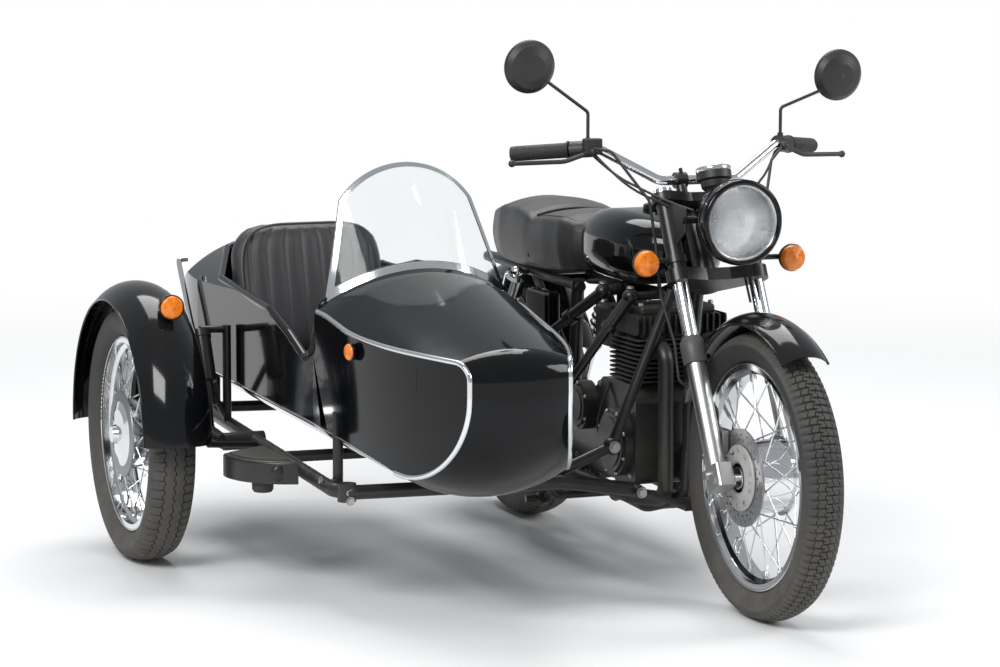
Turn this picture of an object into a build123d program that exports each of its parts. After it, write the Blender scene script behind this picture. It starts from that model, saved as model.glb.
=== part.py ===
from build123d import *
import os
from math import asin, cos, degrees, radians, sin, sqrt, tan

# Sidecar motorcycle: a two-seat road machine with a boat-shaped sidecar on its right.
# Millimetres, +Z up, front towards -Y, the sidecar towards -X, the floor at Z 0. Places are
# given from the motorcycle's middle plane and its front axle, and at() moves them so that the
# middle of the whole machine is the origin.

# Overall layout
BIKE_X = 375.5
AXLE_Y = -785.0
WHEELBASE = 1428.0
TRACK = 1130.0
SIDECAR_LEAD = 240.0
FIT_GAP = 0.3

# Wheels
FRONT_TYRE_RADIUS = 330.0
FRONT_TYRE_HALF = 48.0
FRONT_RIM_RADIUS = 258.0
FRONT_RIM_HALF = 31.0
REAR_TYRE_RADIUS = 316.0
REAR_TYRE_HALF = 58.0
REAR_RIM_RADIUS = 239.0
REAR_RIM_HALF = 36.0
RIM_WALL = 3.5
RIM_SHELF = 14.0
RIM_WELL = 25.0
RIM_LIP = 3.0
TREAD_CROWN = 14.0
SHOULDER_SHARE = 0.86
SPOKES = 36
SPOKE_RADIUS = 1.9
SPOKE_LEAN = 38.0
AXLE_RADIUS = 8.5
RUNNING_GAP = 0.4
HUB_RADIUS = 84.0
HUB_FLANGE = 92.0
HUB_HALF = 44.0
HUB_FLANGE_THICK = 5.0
HUB_NECK_RADIUS = 26.0
FRONT_NECK = 66.0
REAR_NECK = 52.0
SIDE_NECK_OUT = 40.0
SIDE_NECK_IN = 50.0
DISC_RADIUS = 112.0
DISC_BORE = 74.0
DISC_THICK = 5.0
DISC_OFFSET = 10.0
DISC_HOLES = 24
DISC_HOLE_RADIUS = 3.5
DISC_BOLTS = 6
DISC_BOLT_CIRCLE = 60.0

# Fork and steering, lengths along the raked legs from axle height
RAKE = 27.0
FORK_HALF = 97.0
FORK_LEAD = 32.0
STEM_OFFSET = 60.0
STANCHION_RADIUS = 17.5
STANCHION_DEPTH = 60.0
SLIDER_RADIUS = 23.0
COVER_RADIUS = 21.0
SLIDER_LOW = -34.0
SLIDER_TOP = 303.0
COLLAR_LENGTH = 22.0
COLLAR_RADIUS = 26.0
LOWER_YOKE = 470.0
LOWER_YOKE_THICK = 30.0
UPPER_YOKE = 668.0
UPPER_YOKE_THICK = 22.0
STEM_RADIUS = 14.0
HEAD_RADIUS = 28.0
HEAD_GAP = 5.0
YOKE_EAR = 30.0
FORK_CAP = 12.0

# Headlamp, gauge and bar, placed from the upper yoke
LAMP_DROP = 123.3
LAMP_AHEAD = 179.8
LAMP_RADIUS = 97.0
LENS_RADIUS = 87.0
LAMP_DEPTH = 150.0
LENS_BOW = 298.0
LENS_PROUD = 9.0
GAUGE_RADIUS = 41.0
GAUGE_HEIGHT = 52.0
CLAMP_RISE = 36.8
CLAMP_BACK = 3.5
CLAMP_HALF = 45.0
CLAMP_WIDTH = 28.0
CLAMP_RADIUS = 19.0
BAR_RADIUS = 11.0
BAR_BEND = 45.0
BAR_INNER = 97.0
BAR_SHOULDER = 232.0
BAR_HALF = 395.0
GRIP_RADIUS = 17.0
GRIP_START = 282.0
MIRROR_RADIUS = 62.0
MIRROR_STEM_RADIUS = 4.0
SIGNAL_RADIUS = 32.0
SIGNAL_HALF = 187.0
SIGNAL_Z = 798.0

# Mudguards
SHEET = 2.5
FRONT_GUARD_RADIUS = 374.0
FRONT_GUARD_HALF = 58.0
REAR_GUARD_RADIUS = 362.0
REAR_GUARD_HALF = 78.0
SIDE_GUARD_RADIUS = 378.0
SIDE_GUARD_HALF = 85.0

# Frame and engine
MAIN_TUBE = 16.0
SPINE_TUBE = 19.0
CRADLE_HALF = 75.0
SWING_Y = 885.0
SWING_Z = 330.0
SWING_HALF = 98.0
STAND_Y = 905.0
STAND_Z = 192.0
STAND_PIN = 6.0
JOINT_HALF = 140.0
PLATE_HALF = 60.0
PLATE_Z = 508.0
PLATE_HOLE = 3.3
CASE_HALF = 120.0
FIN_HALF = 120.0
FIN_COUNT = 10
FIN_PITCH = 11.0
FIN_THICK = 3.0
HEAD_FINS = 15
HEAD_FIN_PITCH = 16.4
HEAD_FIN_THICK = 4.0
CYLINDER_Y = 530.0
CYLINDER_LOW = 480.0
HEAD_LOW_Z = 600.0
HEAD_TOP_Z = 648.0
HEADER_HALF = 68.0
HEADER_Y = 405.0
HEADER_RADIUS = 19.0
HEADER_TOP = 575.0
SILENCER_HALF = 165.0
SILENCER_RADIUS = 42.0

# Sidecar
TUB_X = -620.0
TUB_HALF = 250.0
TUB_WALL = 6.0
CROWN = 353.0
NOSE_Y = -80.0
BELLY_Z = 290.0
COWL_Z = 781.0
COWL_Y = 541.0
NOSE_ROUND = 70.0
CHIN_ROUND = 260.0
COAMING_Z = 765.0
TAIL_Y = 1902.7
TAIL_MID_Z = 586.0
STERN_Y = 1500.0
STERN_Z = 325.0
STERN_ROUND = 200.0
WRAP_DEPTH = 130.0
WRAP_HALF = 260.0
TRIM_WIDTH = 12.0
TRIM_PROUD = 4.0
BEAD_RADIUS = 10.0
CHASSIS_TUBE = 17.0
RAIL_FRONT_Z = 277.0
SCREEN_SHEET = 4.0
SCREEN_LEAN = 29.5
SCREEN_FOOT_Y = 541.0
SCREEN_FOOT_Z = 655.0
SCREEN_TOP_Z = 1012.0
SCREEN_BOW = 300.0
SCREEN_HALF = 236.0
SCREEN_TOP_HALF = 165.0
SCREEN_SHOULDER_Z = 925.0
SCREEN_FRAME = 10.0
SCREEN_STRIP = 9.0

FRONT_AXLE = (0.0, 0.0, FRONT_TYRE_RADIUS)
REAR_AXLE = (0.0, WHEELBASE, REAR_TYRE_RADIUS)
SIDE_AXLE = (-TRACK, WHEELBASE - SIDECAR_LEAD, REAR_TYRE_RADIUS)
SIDE_Y = SIDE_AXLE[1]
RAKE_SIN = sin(radians(RAKE))
RAKE_COS = cos(radians(RAKE))


def at(x, y, z):
    """A place from the motorcycle's middle plane, front axle and the floor."""
    return Vector(x + BIKE_X, y + AXLE_Y, z)


def fork(x, along, back=0.0):
    """A place on the raked fork: along the legs from axle height, back from the legs' plane."""
    y = FORK_LEAD / RAKE_COS + along * RAKE_SIN + back * RAKE_COS
    z = FRONT_TYRE_RADIUS + along * RAKE_COS - back * RAKE_SIN
    return at(x, y, z)


def fork_plane(along, back=0.0, x=0.0):
    """A plane square to the fork legs, its X across the machine and its Y forward."""
    return Plane(origin=fork(x, along, back), x_dir=(-1, 0, 0), z_dir=(0, RAKE_SIN, RAKE_COS))


def side_plane(x):
    """A plane at a distance across the machine: its sketch reads (y, z)."""
    return Plane(origin=at(x, 0, 0), x_dir=(0, 1, 0), z_dir=(1, 0, 0))


def front_plane(y):
    """A plane at a distance along the machine, facing forward: its sketch reads (x, z)."""
    return Plane(origin=at(0, y, 0), x_dir=(1, 0, 0), z_dir=(0, -1, 0))


def top_plane(z):
    """A plane at a height: its sketch reads (x, y)."""
    return Plane(origin=at(0, 0, z))


def rod(start, end, radius):
    """A round bar between two places."""
    run = end - start
    with BuildPart() as bar:
        with BuildSketch(Plane(origin=start, z_dir=run)):
            Circle(radius)
        extrude(amount=run.length)
    return bar.part


def tube(points, radius, bend):
    """A round bar bent through the points, each corner with the given bend radius."""
    with BuildPart() as bar:
        with BuildLine() as path:
            FilletPolyline(*points, radius=bend)
        with BuildSketch(Plane(origin=points[0], z_dir=points[1] - points[0])):
            Circle(radius)
        sweep(path=path.line)
    return bar.part


def ball(centre, radius):
    """A round knob."""
    with BuildPart() as knob:
        with BuildSketch(Plane(origin=centre, x_dir=(0, 1, 0), z_dir=(1, 0, 0))):
            with BuildLine():
                CenterArc((0, 0), radius, -90, 180)
                Line((0, radius), (0, -radius))
            make_face()
        revolve(axis=Axis(centre, (0, 0, 1)))
    return knob.part


def block(low, high, round_edges=0.0):
    """A box between two corners, its edges rounded if asked."""
    size = high - low
    with BuildPart() as body:
        with BuildSketch(Plane(origin=(low + high) / 2 - Vector(0, 0, size.Z / 2))):
            Rectangle(size.X, size.Y)
        extrude(amount=size.Z)
        if round_edges:
            fillet(body.edges(), round_edges)
    return body.part


def turned(centre, profile):
    """A ring about the wheel axis through a centre, from a list of half-width and radius pairs."""
    with BuildPart() as ring:
        with BuildSketch(Plane(origin=at(*centre), x_dir=(1, 0, 0), z_dir=(0, -1, 0))):
            Polygon(*profile, align=None)
        revolve(axis=Axis(at(*centre), (1, 0, 0)))
    return ring.part


def spun(foot, direction, profile):
    """A turned piece standing on a foot, from a list of radius and height pairs along its axis."""
    plane = Plane(origin=foot, z_dir=direction)
    with BuildPart() as piece:
        with BuildSketch(Plane(origin=foot, x_dir=plane.x_dir, z_dir=-plane.y_dir)):
            Polygon(*profile, align=None)
        revolve(axis=Axis(foot, direction))
    return piece.part


def save(piece, name):
    piece.label = name
    export_step(piece, f"parts/{name}.step")


def tyre(centre, radius, half, rim_radius, rim_half):
    """A closed tyre ring that sits in the rim between its lips."""
    seat = rim_radius - RIM_SHELF + RIM_WALL + RUNNING_GAP
    bead = rim_half - RIM_WALL / 2 - RIM_LIP - RUNNING_GAP
    lip = rim_radius + RIM_LIP + RUNNING_GAP
    middle = (radius + rim_radius) / 2
    shoulder = (half * SHOULDER_SHARE, radius - TREAD_CROWN)
    with BuildPart() as ring:
        with BuildSketch(Plane(origin=at(*centre), x_dir=(1, 0, 0), z_dir=(0, -1, 0))):
            with BuildLine():
                Line((-bead, seat), (bead, seat))
                Line((bead, seat), (bead, lip))
                Spline((bead, lip), (half, middle), shoulder)
                ThreePointArc(shoulder, (0, radius), (-shoulder[0], shoulder[1]))
                Spline((-shoulder[0], shoulder[1]), (-half, middle), (-bead, lip))
                Line((-bead, lip), (-bead, seat))
            make_face()
        revolve(axis=Axis(at(*centre), (1, 0, 0)))
    return ring.part


def spokes(centre, rim_radius):
    """Crossed wire spokes from both hub flanges to the rim's well."""
    outer = rim_radius - RIM_WELL + RIM_WALL / 2
    inner = HUB_FLANGE - 6.0
    bars = []
    for count in range(SPOKES):
        side = 1 if count % 2 else -1
        lean = 1 if (count // 2) % 2 else -1
        angle = radians(360.0 * count / SPOKES)
        start = angle - lean * radians(SPOKE_LEAN)
        hub_x = centre[0] + side * (HUB_HALF - HUB_FLANGE_THICK / 2)
        hub_end = at(hub_x, centre[1] + inner * cos(start), centre[2] + inner * sin(start))
        rim_x = centre[0] + side * 5.0
        rim_end = at(rim_x, centre[1] + outer * cos(angle), centre[2] + outer * sin(angle))
        bars.append(rod(hub_end, rim_end, SPOKE_RADIUS))
    return bars


def rim_profile(radius, half):
    """Half a rolled rim's section, then its mirror image: lip, shelf and well."""
    shelf = half * 0.55
    well = shelf - 6.0
    outside = [
        (half, radius),
        (half, radius - RIM_SHELF),
        (shelf, radius - RIM_SHELF),
        (well, radius - RIM_WELL),
    ]
    inside = [
        (well - 1.0, radius - RIM_WELL + RIM_WALL),
        (shelf - 1.0, radius - RIM_SHELF + RIM_WALL),
        (half - RIM_WALL, radius - RIM_SHELF + RIM_WALL),
        (half - RIM_WALL, radius),
    ]
    left_outside = [(-x, r) for x, r in reversed(outside)]
    left_inside = [(-x, r) for x, r in reversed(inside)]
    return outside + left_outside + left_inside + inside


def spoked_rim(centre, rim_radius, rim_half, right_neck, left_neck):
    """A rolled rim, its spokes and its hub drum as one piece."""
    bore = AXLE_RADIUS + RUNNING_GAP
    flange = HUB_HALF - HUB_FLANGE_THICK
    hub_profile = [
        (-right_neck, bore),
        (-right_neck, HUB_NECK_RADIUS),
        (-HUB_HALF, HUB_NECK_RADIUS + 6.0),
        (-HUB_HALF, HUB_FLANGE),
        (-flange, HUB_FLANGE),
        (-flange, HUB_RADIUS),
        (flange, HUB_RADIUS),
        (flange, HUB_FLANGE),
        (HUB_HALF, HUB_FLANGE),
        (HUB_HALF + 4.0, HUB_RADIUS * 0.9),
        (left_neck, HUB_NECK_RADIUS),
        (left_neck, bore),
    ]
    if right_neck < HUB_HALF:
        hub_profile[2] = (-right_neck, HUB_FLANGE - 8.0)
        hub_profile[3] = (-HUB_HALF, HUB_FLANGE)
    with BuildPart() as wheel:
        add(turned(centre, rim_profile(rim_radius, rim_half)))
        for side in (-1, 1):
            lip_x = side * (rim_half - RIM_WALL / 2)
            with BuildSketch(Plane(origin=at(*centre), x_dir=(1, 0, 0), z_dir=(0, -1, 0))):
                with Locations((lip_x, rim_radius)):
                    Circle(RIM_LIP)
            revolve(axis=Axis(at(*centre), (1, 0, 0)))
        add(turned(centre, hub_profile))
        add(spokes(centre, rim_radius))
    return wheel.part


def mudguard(centre, radius, half, drop, front_angle, rear_angle):
    """A sheet guard crowned across its width, from an angle ahead of the top to one behind it."""
    crown = (half**2 + drop**2) / (2 * drop)
    inner = crown - SHEET
    turn = radians(front_angle)
    start = Plane(origin=at(*centre), x_dir=(1, 0, 0), z_dir=(0, -cos(turn), -sin(turn)))
    edge = asin(half / crown)
    base = radius - crown
    outer_end = (crown * sin(edge), base + crown * cos(edge))
    inner_end = (inner * sin(edge), base + inner * cos(edge))
    with BuildPart() as guard:
        with BuildSketch(start):
            with BuildLine():
                ThreePointArc((-outer_end[0], outer_end[1]), (0, radius), outer_end)
                Line(outer_end, inner_end)
                ThreePointArc(inner_end, (0, radius - SHEET), (-inner_end[0], inner_end[1]))
                Line((-inner_end[0], inner_end[1]), (-outer_end[0], outer_end[1]))
            make_face()
            for side in (-1, 1):
                with Locations((side * (outer_end[0] - SHEET), outer_end[1] + 1.0)):
                    Circle(SHEET * 1.2)
        revolve(axis=Axis(at(*centre), (-1, 0, 0)), revolution_arc=front_angle + rear_angle)
    return guard.part


def bar_place(x):
    """A place on the straight grip end of the bar at a distance from the middle."""
    share = (abs(x) - BAR_SHOULDER) / (BAR_HALF - BAR_SHOULDER)
    y = BAR_RISE[0] + share * (BAR_END[0] - BAR_RISE[0])
    z = BAR_RISE[1] + share * (BAR_END[1] - BAR_RISE[1])
    return at(x, y, z)


os.makedirs("parts", exist_ok=True)

# Wheels
wheel_table = [
    # name, axle, tyre radius, tyre half, rim radius, rim half, right neck, left neck
    (
        "front",
        FRONT_AXLE,
        FRONT_TYRE_RADIUS,
        FRONT_TYRE_HALF,
        FRONT_RIM_RADIUS,
        FRONT_RIM_HALF,
        FRONT_NECK,
        FRONT_NECK,
    ),
    (
        "rear",
        REAR_AXLE,
        REAR_TYRE_RADIUS,
        REAR_TYRE_HALF,
        REAR_RIM_RADIUS,
        REAR_RIM_HALF,
        REAR_NECK,
        REAR_NECK,
    ),
    (
        "sidecar",
        SIDE_AXLE,
        REAR_TYRE_RADIUS,
        REAR_TYRE_HALF,
        REAR_RIM_RADIUS,
        REAR_RIM_HALF,
        SIDE_NECK_OUT,
        SIDE_NECK_IN,
    ),
]
for name, axle, radius, half, rim_radius, rim_half, right_neck, left_neck in wheel_table:
    save(tyre(axle, radius, half, rim_radius, rim_half), f"{name}_tyre")
    wheel = spoked_rim(axle, rim_radius, rim_half, right_neck, left_neck)
    if name == "sidecar":
        cover = [(-right_neck, 0), (-right_neck, 84), (-50, 80), (-56, 60), (-62, 24), (-74, 20), (-74, 0)]
        with BuildPart() as covered:
            add(wheel)
            add(turned(axle, cover))
        wheel = covered.part
    save(wheel, f"{name}_wheel")

# Brake disc on the front hub, drilled, bolted to its light alloy carrier
DISC_X = -(HUB_HALF + DISC_OFFSET)
CARRIER_FACE = FRONT_NECK - 8.0
with BuildPart() as front_disc:
    with BuildSketch(Plane(origin=at(DISC_X, 0, FRONT_TYRE_RADIUS), x_dir=(0, 1, 0), z_dir=(1, 0, 0))):
        Circle(DISC_RADIUS)
        Circle(DISC_BORE, mode=Mode.SUBTRACT)
        with PolarLocations((DISC_RADIUS + DISC_BORE) / 2 + 6, DISC_HOLES):
            Circle(DISC_HOLE_RADIUS, mode=Mode.SUBTRACT)
        with PolarLocations((DISC_RADIUS + DISC_BORE) / 2 - 6, DISC_HOLES, start_angle=180 / DISC_HOLES):
            Circle(DISC_HOLE_RADIUS, mode=Mode.SUBTRACT)
    extrude(amount=DISC_THICK / 2, both=True)
    with BuildSketch(Plane(origin=at(-HUB_HALF, 0, FRONT_TYRE_RADIUS), x_dir=(0, 1, 0), z_dir=(-1, 0, 0))):
        Circle(DISC_BORE)
        Circle(HUB_NECK_RADIUS + 6.0, mode=Mode.SUBTRACT)
    extrude(amount=CARRIER_FACE - HUB_HALF)
    carrier_front = Plane(origin=at(-CARRIER_FACE, 0, FRONT_TYRE_RADIUS), x_dir=(0, 1, 0), z_dir=(-1, 0, 0))
    with BuildSketch(carrier_front):
        with PolarLocations(DISC_BOLT_CIRCLE, DISC_BOLTS):
            RegularPolygon(6.5, 6)
    extrude(amount=5)
save(front_disc.part, "front_disc")

# Fork yokes with the steering stem and the clamps that hold the bar
BAR_CLAMP = fork(0, UPPER_YOKE + UPPER_YOKE_THICK + CLAMP_RISE, CLAMP_BACK)
CLAMP_Y = BAR_CLAMP.Y - AXLE_Y
CLAMP_Z = BAR_CLAMP.Z
with BuildPart() as fork_yokes:
    for along, thick in ((LOWER_YOKE, LOWER_YOKE_THICK), (UPPER_YOKE, UPPER_YOKE_THICK)):
        with BuildSketch(fork_plane(along)):
            with Locations((-FORK_HALF, 0), (FORK_HALF, 0)):
                Circle(YOKE_EAR)
            with BuildLine():
                Polyline(
                    (-FORK_HALF, YOKE_EAR),
                    (-YOKE_EAR, YOKE_EAR * 0.4),
                    (YOKE_EAR, YOKE_EAR * 0.4),
                    (FORK_HALF, YOKE_EAR),
                    (FORK_HALF + YOKE_EAR * 0.7, -YOKE_EAR * 0.7),
                    (YOKE_EAR, -STEM_OFFSET - 10),
                    (-YOKE_EAR, -STEM_OFFSET - 10),
                    (-FORK_HALF - YOKE_EAR * 0.7, -YOKE_EAR * 0.7),
                    close=True,
                )
            make_face()
            with Locations((0, -STEM_OFFSET)):
                Circle(YOKE_EAR)
            with Locations((-FORK_HALF, 0), (FORK_HALF, 0)):
                Circle(STANCHION_RADIUS, mode=Mode.SUBTRACT)
        extrude(amount=thick)
    with BuildSketch(fork_plane(LOWER_YOKE, STEM_OFFSET)):
        Circle(STEM_RADIUS)
    extrude(amount=UPPER_YOKE + UPPER_YOKE_THICK - LOWER_YOKE)
    with BuildSketch(fork_plane(UPPER_YOKE + UPPER_YOKE_THICK, STEM_OFFSET)):
        RegularPolygon(STEM_RADIUS + 4, 6)
    extrude(amount=14)
    for side in (-1, 1):
        with BuildSketch(fork_plane(UPPER_YOKE + UPPER_YOKE_THICK, CLAMP_BACK, side * CLAMP_HALF)):
            Circle(13)
        extrude(amount=CLAMP_RISE - BAR_RADIUS - 2)
        clamp_side = Plane(origin=at(side * CLAMP_HALF - CLAMP_WIDTH / 2, CLAMP_Y, CLAMP_Z), z_dir=(1, 0, 0))
        with BuildSketch(clamp_side):
            Circle(CLAMP_RADIUS)
        extrude(amount=CLAMP_WIDTH)
        clamp_top = fork_plane(UPPER_YOKE + UPPER_YOKE_THICK + CLAMP_RISE, CLAMP_BACK, side * CLAMP_HALF)
        with BuildSketch(clamp_top):
            with Locations((0, 14), (0, -14)):
                RegularPolygon(5, 6)
        extrude(amount=24)
        with BuildSketch(clamp_side):
            Circle(BAR_RADIUS)
        extrude(amount=CLAMP_WIDTH, mode=Mode.SUBTRACT)
save(fork_yokes.part, "fork_yokes")

with BuildPart() as stanchions:
    for side in (-1, 1):
        with BuildSketch(fork_plane(SLIDER_TOP - STANCHION_DEPTH, 0, side * FORK_HALF)):
            Circle(STANCHION_RADIUS)
        extrude(amount=UPPER_YOKE + UPPER_YOKE_THICK - SLIDER_TOP + STANCHION_DEPTH)
        with BuildSketch(fork_plane(UPPER_YOKE + UPPER_YOKE_THICK, 0, side * FORK_HALF)):
            Circle(STANCHION_RADIUS + 4)
        extrude(amount=FORK_CAP)
save(stanchions.part, "stanchions")

# Polished sliders with the axle between them
with BuildPart() as sliders:
    for side in (-1, 1):
        leg = side * FORK_HALF
        with BuildSketch(fork_plane(SLIDER_LOW + 40, 0, leg)):
            Circle(SLIDER_RADIUS)
        extrude(amount=SLIDER_TOP - SLIDER_LOW - 40)
        with BuildSketch(fork_plane(SLIDER_TOP - COLLAR_LENGTH, 0, leg)):
            Circle(COLLAR_RADIUS)
        extrude(amount=COLLAR_LENGTH)
        with BuildSketch(fork_plane(SLIDER_LOW, 0, leg)):
            with Locations((0, FORK_LEAD / 2 - 4)):
                RectangleRounded(2 * SLIDER_RADIUS, 2 * SLIDER_RADIUS + FORK_LEAD - 8, 10)
        extrude(amount=54)
        axle_end = at(leg + side * SLIDER_RADIUS, 0, FRONT_TYRE_RADIUS)
        with BuildSketch(Plane(origin=axle_end, z_dir=(side, 0, 0))):
            RegularPolygon(14, 6)
        extrude(amount=10)
        with BuildSketch(Plane(origin=fork(leg + side * SLIDER_RADIUS, 4, 4), z_dir=(side, 0, 0))):
            Circle(11)
        extrude(amount=9)
        add(rod(fork(leg - 10, 232, 30), fork(leg + 10, 232, 30), 9))
        add(rod(fork(leg, 232, 0), fork(leg, 232, 30), 8))
        with BuildSketch(fork_plane(SLIDER_TOP - STANCHION_DEPTH, 0, leg)):
            Circle(STANCHION_RADIUS)
        extrude(amount=STANCHION_DEPTH + 1, mode=Mode.SUBTRACT)
    with BuildSketch(Plane(origin=at(-FORK_HALF, 0, FRONT_TYRE_RADIUS), z_dir=(1, 0, 0))):
        Circle(AXLE_RADIUS)
    extrude(amount=2 * FORK_HALF)
save(sliders.part, "sliders")

# Caliper over the disc's rear edge, its two halves joined behind the disc
CALIPER_OUT = DISC_X - 19.7
CALIPER_IN = DISC_X + 9.5
CALIPER_Z = FRONT_TYRE_RADIUS + 44.0
with BuildPart() as front_caliper:
    add(block(at(CALIPER_OUT, 62, CALIPER_Z), at(DISC_X - 3.5, 114, CALIPER_Z + 54), 3))
    add(block(at(DISC_X + 3.5, 62, CALIPER_Z + 6), at(CALIPER_IN, 114, CALIPER_Z + 54), 2))
    add(block(at(CALIPER_OUT, 110, CALIPER_Z), at(CALIPER_IN, 124, CALIPER_Z + 54), 3))
save(front_caliper.part, "front_caliper")

with BuildPart() as front_mudguard:
    add(mudguard(FRONT_AXLE, FRONT_GUARD_RADIUS, FRONT_GUARD_HALF, 27.0, 36.0, 70.0))
    for side in (-1, 1):
        add(rod(fork(side * (FRONT_GUARD_HALF - 6), 296, 20), fork(side * (FORK_HALF - 14), 272, 8), 6))
    add(sliders.part, mode=Mode.SUBTRACT)
    add(stanchions.part, mode=Mode.SUBTRACT)
save(front_mudguard.part, "front_mudguard")

# Headlamp shell and lens, placed from the upper yoke
LAMP = fork(0, UPPER_YOKE - LAMP_DROP, -LAMP_AHEAD)
LAMP_PLANE = Plane(origin=LAMP, x_dir=(1, 0, 0), z_dir=(0, 0, 1))
LENS_BACK = 21.7
with BuildPart() as headlamp:
    with BuildSketch(LAMP_PLANE):
        with BuildLine():
            Line((0, LENS_BACK + FIT_GAP), (LENS_RADIUS + FIT_GAP, LENS_BACK + FIT_GAP))
            Line((LENS_RADIUS + FIT_GAP, LENS_BACK + FIT_GAP), (LENS_RADIUS + FIT_GAP, -2))
            Line((LENS_RADIUS + FIT_GAP, -2), (LAMP_RADIUS - 4, -3))
            Line((LAMP_RADIUS - 4, -3), (LAMP_RADIUS, 4))
            Line((LAMP_RADIUS, 4), (LAMP_RADIUS, 24))
            Line((LAMP_RADIUS, 24), (LAMP_RADIUS - 4, 28))
            bowl = [(LAMP_RADIUS - 4, 28), (LAMP_RADIUS * 0.76, 100), (0, LAMP_DEPTH)]
            Spline(*bowl, tangents=[(0, 1), (-1, 0)])
            Line((0, LAMP_DEPTH), (0, LENS_BACK + FIT_GAP))
        make_face()
    revolve(axis=Axis(LAMP, (0, 1, 0)))
save(headlamp.part, "headlamp")

LENS_TURN = degrees(asin(LENS_RADIUS / LENS_BOW))
LENS_EDGE = LENS_BOW - LENS_PROUD - LENS_BOW * cos(radians(LENS_TURN))
with BuildPart() as headlamp_lens:
    with BuildSketch(LAMP_PLANE):
        with BuildLine():
            Line((0, LENS_BACK), (LENS_RADIUS, LENS_BACK))
            Line((LENS_RADIUS, LENS_BACK), (LENS_RADIUS, LENS_EDGE))
            CenterArc((0, LENS_BOW - LENS_PROUD), LENS_BOW, -90, LENS_TURN)
            Line((0, -LENS_PROUD), (0, LENS_BACK))
        make_face()
    revolve(axis=Axis(LAMP, (0, 1, 0)))
save(headlamp_lens.part, "headlamp_lens")

# Tube covers between the yokes, each with a lamp ear and a ring for its signal's stalk
LAMP_Z = LAMP.Z
LAMP_Y = LAMP.Y - AXLE_Y
EAR_Y = LAMP_Y + 105.0
with BuildPart() as fork_covers:
    for side in (-1, 1):
        with BuildSketch(side_plane(side * (LAMP_RADIUS + FIT_GAP))):
            with BuildLine():
                Polyline(
                    (EAR_Y - 15, LAMP_Z + 28),
                    (EAR_Y - 15, LAMP_Z - 25),
                    (EAR_Y + 34, LAMP_Z - 59),
                    (EAR_Y + 102, LAMP_Z + 8),
                    (EAR_Y + 94, LAMP_Z + 33),
                    close=True,
                )
            make_face()
        extrude(amount=side * 3)
        add(rod(at(side * (LAMP_RADIUS + 9), EAR_Y, LAMP_Z), at(side * 66, EAR_Y, LAMP_Z), 9))
    add(stanchions.part, mode=Mode.SUBTRACT)
    add(headlamp.part, mode=Mode.SUBTRACT)
    for side in (-1, 1):
        with BuildSketch(fork_plane(LOWER_YOKE + LOWER_YOKE_THICK, 0, side * FORK_HALF)):
            Circle(COVER_RADIUS)
            Circle(STANCHION_RADIUS, mode=Mode.SUBTRACT)
        extrude(amount=UPPER_YOKE - LOWER_YOKE - LOWER_YOKE_THICK)
        with BuildSketch(fork_plane(LOWER_YOKE + LOWER_YOKE_THICK + 16, 0, side * FORK_HALF)):
            Circle(COVER_RADIUS + 4)
            Circle(STANCHION_RADIUS, mode=Mode.SUBTRACT)
        extrude(amount=18)
save(fork_covers.part, "fork_covers")

GAUGE_LEAN = (0, 0.30, 1)
with BuildPart() as gauge:
    gauge_profile = [(0, 0), (25, 0), (32, 8), (34, 22), (GAUGE_RADIUS, 26), (GAUGE_RADIUS, GAUGE_HEIGHT)]
    gauge_profile += [(GAUGE_RADIUS - 4, GAUGE_HEIGHT + 2), (GAUGE_RADIUS - 6, GAUGE_HEIGHT - 4)]
    gauge_profile += [(0, GAUGE_HEIGHT - 4)]
    add(spun(at(0, LAMP_Y + 145, LAMP_Z + 61.8), GAUGE_LEAN, gauge_profile))
save(gauge.part, "gauge")

# Handlebar and what it carries
BAR_RISE = (CLAMP_Y + 56.0, CLAMP_Z + 76.0)
BAR_END = (CLAMP_Y + 190.0, CLAMP_Z + 57.0)
bar_points = [
    bar_place(-BAR_HALF),
    at(-BAR_SHOULDER, *BAR_RISE),
    at(-BAR_INNER, CLAMP_Y, CLAMP_Z),
    at(BAR_INNER, CLAMP_Y, CLAMP_Z),
    at(BAR_SHOULDER, *BAR_RISE),
    bar_place(BAR_HALF),
]
handlebar = tube(bar_points, BAR_RADIUS, BAR_BEND)
save(handlebar, "handlebar")

with BuildPart() as grips:
    for side in (-1, 1):
        start = bar_place(side * GRIP_START)
        end = bar_place(side * (BAR_HALF - 1))
        with BuildSketch(Plane(origin=start, z_dir=end - start)):
            Circle(GRIP_RADIUS)
            Circle(BAR_RADIUS, mode=Mode.SUBTRACT)
        extrude(amount=(end - start).length)
        with BuildSketch(Plane(origin=start, z_dir=end - start)):
            Circle(GRIP_RADIUS + 4)
            Circle(BAR_RADIUS, mode=Mode.SUBTRACT)
        extrude(amount=5)
save(grips.part, "grips")

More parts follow.
